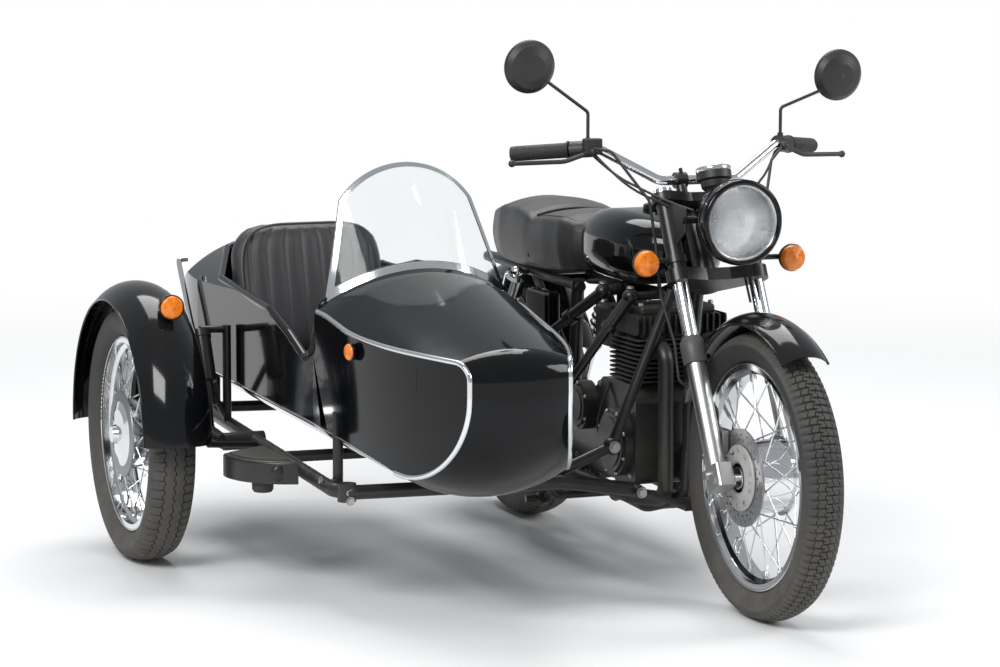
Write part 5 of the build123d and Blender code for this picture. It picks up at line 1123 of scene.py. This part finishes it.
def hull_shell():
    """The hull's faces with everything below the floor's edge line cut from the two blades."""
    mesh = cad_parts["sidecar_hull"].data.copy()
    mesh.name = "hull_shell"
    middle = at(HULL_MIDDLE, 0, 0).x
    front, rear = at(0, FLOOR_FRONT, 0).y, at(0, FLOOR_REAR, 0).y
    form = bmesh.new()
    form.from_mesh(mesh)

    def on_blade(face):
        places = [corner.co for corner in face.verts]
        if min(place.z for place in places) < UNDER_FLOOR:
            return True
        return all(abs(place.x - middle) > BLADE_INNER and front < place.y < rear for place in places)

    faces = [face for face in form.faces if on_blade(face)]
    edges = {edge for face in faces for edge in face.edges}
    corners = {corner for face in faces for corner in face.verts}
    below = {"plane_co": (0, 0, BLADE_TOP), "plane_no": (0, 0, -1), "clear_outer": True}
    bmesh.ops.bisect_plane(form, geom=[*faces, *edges, *corners], **below)
    form.to_mesh(mesh)
    form.free()
    return mesh


def floor_place(u, v):
    """A place on the hull's floor where the slot is."""
    across = (2 * u - 1) * FLOOR_HALF
    along = FLOOR_FRONT + (FLOOR_REAR - FLOOR_FRONT) * v
    up = 0.290 + (along + 0.080) * 0.035 / 1.58 + HULL_CROWN - math.sqrt(HULL_CROWN**2 - across**2)
    return at(HULL_MIDDLE + across, along, up - 0.0004)


shell = bpy.data.objects.new("hull_shell", hull_shell())
scene.collection.objects.link(shell)
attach(shell, "machine")
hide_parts("sidecar_hull")
floor_sheet = mesh_from("hull_floor_sheet", *sheet_points(41, 3, floor_place))
new_piece("hull_floor_sheet", floor_sheet, hull_black, "machine")
for side, name in HULL_SIDES:

    def wall_place(u, v, side=side):
        """A place on the side of the nose where the slit is."""
        along = 0.105 + 0.205 * u
        return at(HULL_MIDDLE + side * (half_width(along) + 0.0003), along, 0.548 + 0.050 * v)

    wall_sheet = mesh_from(f"nose_sheet_{name}", *sheet_points(15, 3, wall_place))
    new_piece(f"nose_sheet_{name}", wall_sheet, hull_black, "machine")

# The step's grained top inside its smooth edge, its round cap and its rubber block
STEP_FRONT = (-0.912, 0.660)
STEP_REAR = (-1.013, 0.822)
STEP_BOW = (-0.989, 0.717)
STEP_MIDDLE = Vector((-0.945, 0.775))
STEP_ARC_STEPS = 12
STEP_RINGS = [(1.0, 0.3155), (0.985, 0.3185), (0.9, 0.3190), (0.0, 0.3190)]
STEP_CAP = [(0.0, -0.004), (0.020, -0.004), (0.022, 0.004), (0.021, 0.012), (0.015, 0.016), (0.012, 0.0165)]
STEP_CAP += [(0.0, 0.0175)]
STEP_BLOCK = [(0.024, 0.002), (0.026, -0.004), (0.0255, -0.020), (0.021, -0.026)]
STEP_BLOCK += [(0.008, -0.027), (0.0, -0.0265)]


def step_edge():
    """The outline of the step from above: two corners at the chassis rail and a bowed outer edge."""
    centre, reach = circle_through(STEP_REAR, STEP_BOW, STEP_FRONT)
    first = math.atan2(STEP_REAR[1] - centre.y, STEP_REAR[0] - centre.x)
    last = math.atan2(STEP_FRONT[1] - centre.y, STEP_FRONT[0] - centre.x)
    sweep = (last - first + math.pi) % math.tau - math.pi
    edge = [(-0.912, 0.880), (-0.930, 0.872)]
    for step in range(STEP_ARC_STEPS + 1):
        angle = first + sweep * step / STEP_ARC_STEPS
        edge.append((centre.x + reach * math.cos(angle), centre.y + reach * math.sin(angle)))
    return edge


edge = step_edge()
step_points = []
for share, up in STEP_RINGS:
    for x, y in edge:
        inset = STEP_MIDDLE + (Vector((x, y)) - STEP_MIDDLE) * share
        step_points.append(at(inset.x, inset.y, up))
step_mesh = mesh_from("step_top", step_points, ring_faces(len(STEP_RINGS), len(edge)))
new_piece("step_top", step_mesh, step_grain, "machine", smooth=False)
turned_piece("step_cap", STEP_CAP, at(-0.938, 0.668, 0.289), FRONT, frame_black, "machine", 40)
turned_piece("step_block", STEP_BLOCK, at(-0.962, 0.720, 0.262), UP, black_rubber, "machine", 40)


# Bolts, nuts and screws where the machine is held together
COVER_SCREWS = [
    # side, face, along, up, ring radius, count
    (RIGHT, 0.142, 0.535, 0.335, 0.077, 8),
    (RIGHT, 0.150, 0.728, 0.398, 0.055, 6),
    (LEFT, 0.142, 0.535, 0.340, 0.079, 8),
    (LEFT, 0.136, 0.700, 0.330, 0.065, 8),
]
CASE_BOLTS = ((0.470, 0.262), (0.470, 0.420), (0.800, 0.262), (0.660, 0.460), (0.815, 0.400))
CASE_FACE = 0.120
HEAD_TOP = 0.668

engine_table = []
for side, face, along, up, radius, count in COVER_SCREWS:
    for step in range(count):
        angle = math.tau * (step + 0.5) / count
        place = at(side[0] * face, along + radius * math.cos(angle), up + radius * math.sin(angle))
        engine_table.append((domed_head, place, side, 0.005, 0.005))
for side in (RIGHT, LEFT):
    for x in (0.03, 0.092):
        for y in (0.485, 0.575):
            engine_table.append((hexagon_head, at(side[0] * x, y, HEAD_TOP), UP, 0.006, 0.007))
    for y, z in CASE_BOLTS:
        engine_table.append((hexagon_head, at(side[0] * CASE_FACE, y, z), side, 0.006, 0.005))
fasteners("engine_bolts", "machine", engine_table)

CHASSIS_BOLTS = [
    # place, direction, radius, height
    ((-0.335, 0.480, 0.298), LEFT, 0.008, 0.007),
    ((-0.335, 1.450, 0.314), LEFT, 0.008, 0.007),
    ((-0.896, 0.480, 0.298), RIGHT, 0.008, 0.007),
    ((-0.896, 1.450, 0.314), RIGHT, 0.008, 0.007),
    ((-0.858, 0.3865, 0.262), FRONT, 0.008, 0.007),
    ((-0.858, 0.397, 0.280), FRONT, 0.008, 0.007),
    ((-0.112, 0.500, 0.709), UP, 0.008, 0.006),
    ((-0.112, 0.665, 0.703), UP, 0.008, 0.006),
    ((-0.196, 0.394, 0.347), FRONT, 0.011, 0.009),
    ((-0.140, 0.362, 0.240), FRONT, 0.010, 0.010),
]
fasteners("chassis_bolts", "machine", [(hexagon_head, at(*place), *rest) for place, *rest in CHASSIS_BOLTS])


# Cables: bent wires from the bar round the lamp, held at both ends
LOOM = [(0.238, 0.440, 1.035), (0.200, 0.400, 0.990), (0.150, 0.360, 0.960)]
LOOM += [(0.100, 0.300, 0.930), (0.060, 0.262, 0.915)]
THROTTLE = [(-0.245, 0.430, 1.045), (-0.215, 0.385, 1.000), (-0.170, 0.345, 0.955)]
THROTTLE += [(-0.105, 0.312, 0.925), (-0.062, 0.285, 0.902)]
GAUGE_DRIVE = [(0.0, 0.262, 0.962), (0.015, 0.235, 0.930), (0.062, 0.290, 0.880)]
GAUGE_DRIVE += [(0.080, 0.300, 0.800), (0.072, 0.225, 0.700)]
SPARK_LEAD = [(0.045, 0.452, 0.640), (0.045, 0.430, 0.668), (0.040, 0.450, 0.700), (0.030, 0.520, 0.712)]
FUEL_HOSE = [(-0.040, 0.700, 0.714), (-0.055, 0.690, 0.690), (-0.050, 0.672, 0.650), (-0.045, 0.669, 0.625)]
OIL_LINE = [(-0.128, 0.640, 0.330), (-0.150, 0.610, 0.360), (-0.142, 0.600, 0.420), (-0.120, 0.600, 0.470)]
CABLES = [
    # name, route, side of the route, radius, body
    ("throttle_cable", THROTTLE, 1, 0.0030, "steering"),
    ("switch_loom_right", LOOM, -1, 0.0030, "steering"),
    ("switch_loom_left", LOOM, 1, 0.0030, "steering"),
    ("gauge_drive", GAUGE_DRIVE, 1, 0.0030, "steering"),
    ("spark_lead_right", SPARK_LEAD, -1, 0.0034, "machine"),
    ("spark_lead_left", SPARK_LEAD, 1, 0.0034, "machine"),
    ("fuel_hose", FUEL_HOSE, 1, 0.0034, "machine"),
    ("oil_line", OIL_LINE, 1, 0.0034, "machine"),
]
for name, route, side, radius, body in CABLES:
    wire(name, [at(side * x, y, z) for x, y, z in route], radius, black_rubber, body)


# Floor and soft studio light
FLOOR_REACH = 60.0
FADE_START = 1.8
FADE_END = 6.0


def stage_floor():
    """A wide pale floor that takes the machine's shadow and fades to white far away."""
    corners = [(x * FLOOR_REACH, y * FLOOR_REACH, 0) for x, y in ((-1, -1), (1, -1), (1, 1), (-1, 1))]
    mesh = bpy.data.meshes.new("pale_floor")
    mesh.from_pydata(corners, [], [(0, 1, 2, 3)])
    floor = bpy.data.objects.new("pale_floor", mesh)
    scene.collection.objects.link(floor)
    material = bpy.data.materials.new("pale_floor")
    material.use_nodes = True
    tree = material.node_tree
    shader = tree.nodes["Principled BSDF"]
    shader.inputs["Base Color"].default_value = (0.8, 0.8, 0.8, 1)
    shader.inputs["Roughness"].default_value = 0.85
    place = add_node(tree, "ShaderNodeTexCoord")
    away = add_node(tree, "ShaderNodeVectorMath", [(place.outputs["Object"], 0)], operation="LENGTH")
    fade = spread_out(tree, away.outputs["Value"], FADE_START, FADE_END, interpolation_type="SMOOTHSTEP")
    bright = add_node(tree, "ShaderNodeEmission", Color=(1, 1, 1, 1), Strength=1.0)
    surface = blended(tree, fade.outputs[0], shader.outputs[0], bright.outputs[0])
    tree.links.new(surface, tree.nodes["Material Output"].inputs["Surface"])
    mesh.materials.append(material)


def soft_light(name, place, target, width, height, power):
    """A large rectangular lamp aimed at a place."""
    data = bpy.data.lights.new(name, "AREA")
    data.shape = "RECTANGLE"
    data.size = width
    data.size_y = height
    data.energy = power
    lamp = bpy.data.objects.new(name, data)
    lamp.location = place
    lamp.rotation_euler = (Vector(target) - Vector(place)).to_track_quat("-Z", "Y").to_euler()
    scene.collection.objects.link(lamp)


def white_surround():
    """White to the camera and through glass, softer as a light on the surfaces."""
    world = bpy.data.worlds.new("studio")
    scene.world = world
    world.use_nodes = True
    tree = world.node_tree
    tree.nodes.clear()
    path = add_node(tree, "ShaderNodeLightPath")
    seen = maths(tree, "MAXIMUM", path.outputs["Is Camera Ray"], path.outputs["Is Transmission Ray"])
    soft = add_node(tree, "ShaderNodeBackground", Color=(0.9, 0.95, 1.0, 1), Strength=0.45)
    plain = add_node(tree, "ShaderNodeBackground", Color=(1, 1, 1, 1), Strength=1.0)
    mixed = blended(tree, seen, soft.outputs[0], plain.outputs[0])
    add_node(tree, "ShaderNodeOutputWorld", [(mixed, "Surface")])


stage_floor()
white_surround()
soft_light("key_light", (-4.5, -4.0, 5.0), (0, 0, 0.4), 3.5, 2.5, 420)
soft_light("side_light", (5.0, -3.0, 3.5), (0.2, 0, 0.5), 2.5, 2.5, 160)
soft_light("top_light", (0.5, 2.5, 5.5), (0, 0, 0.5), 4.0, 3.0, 220)
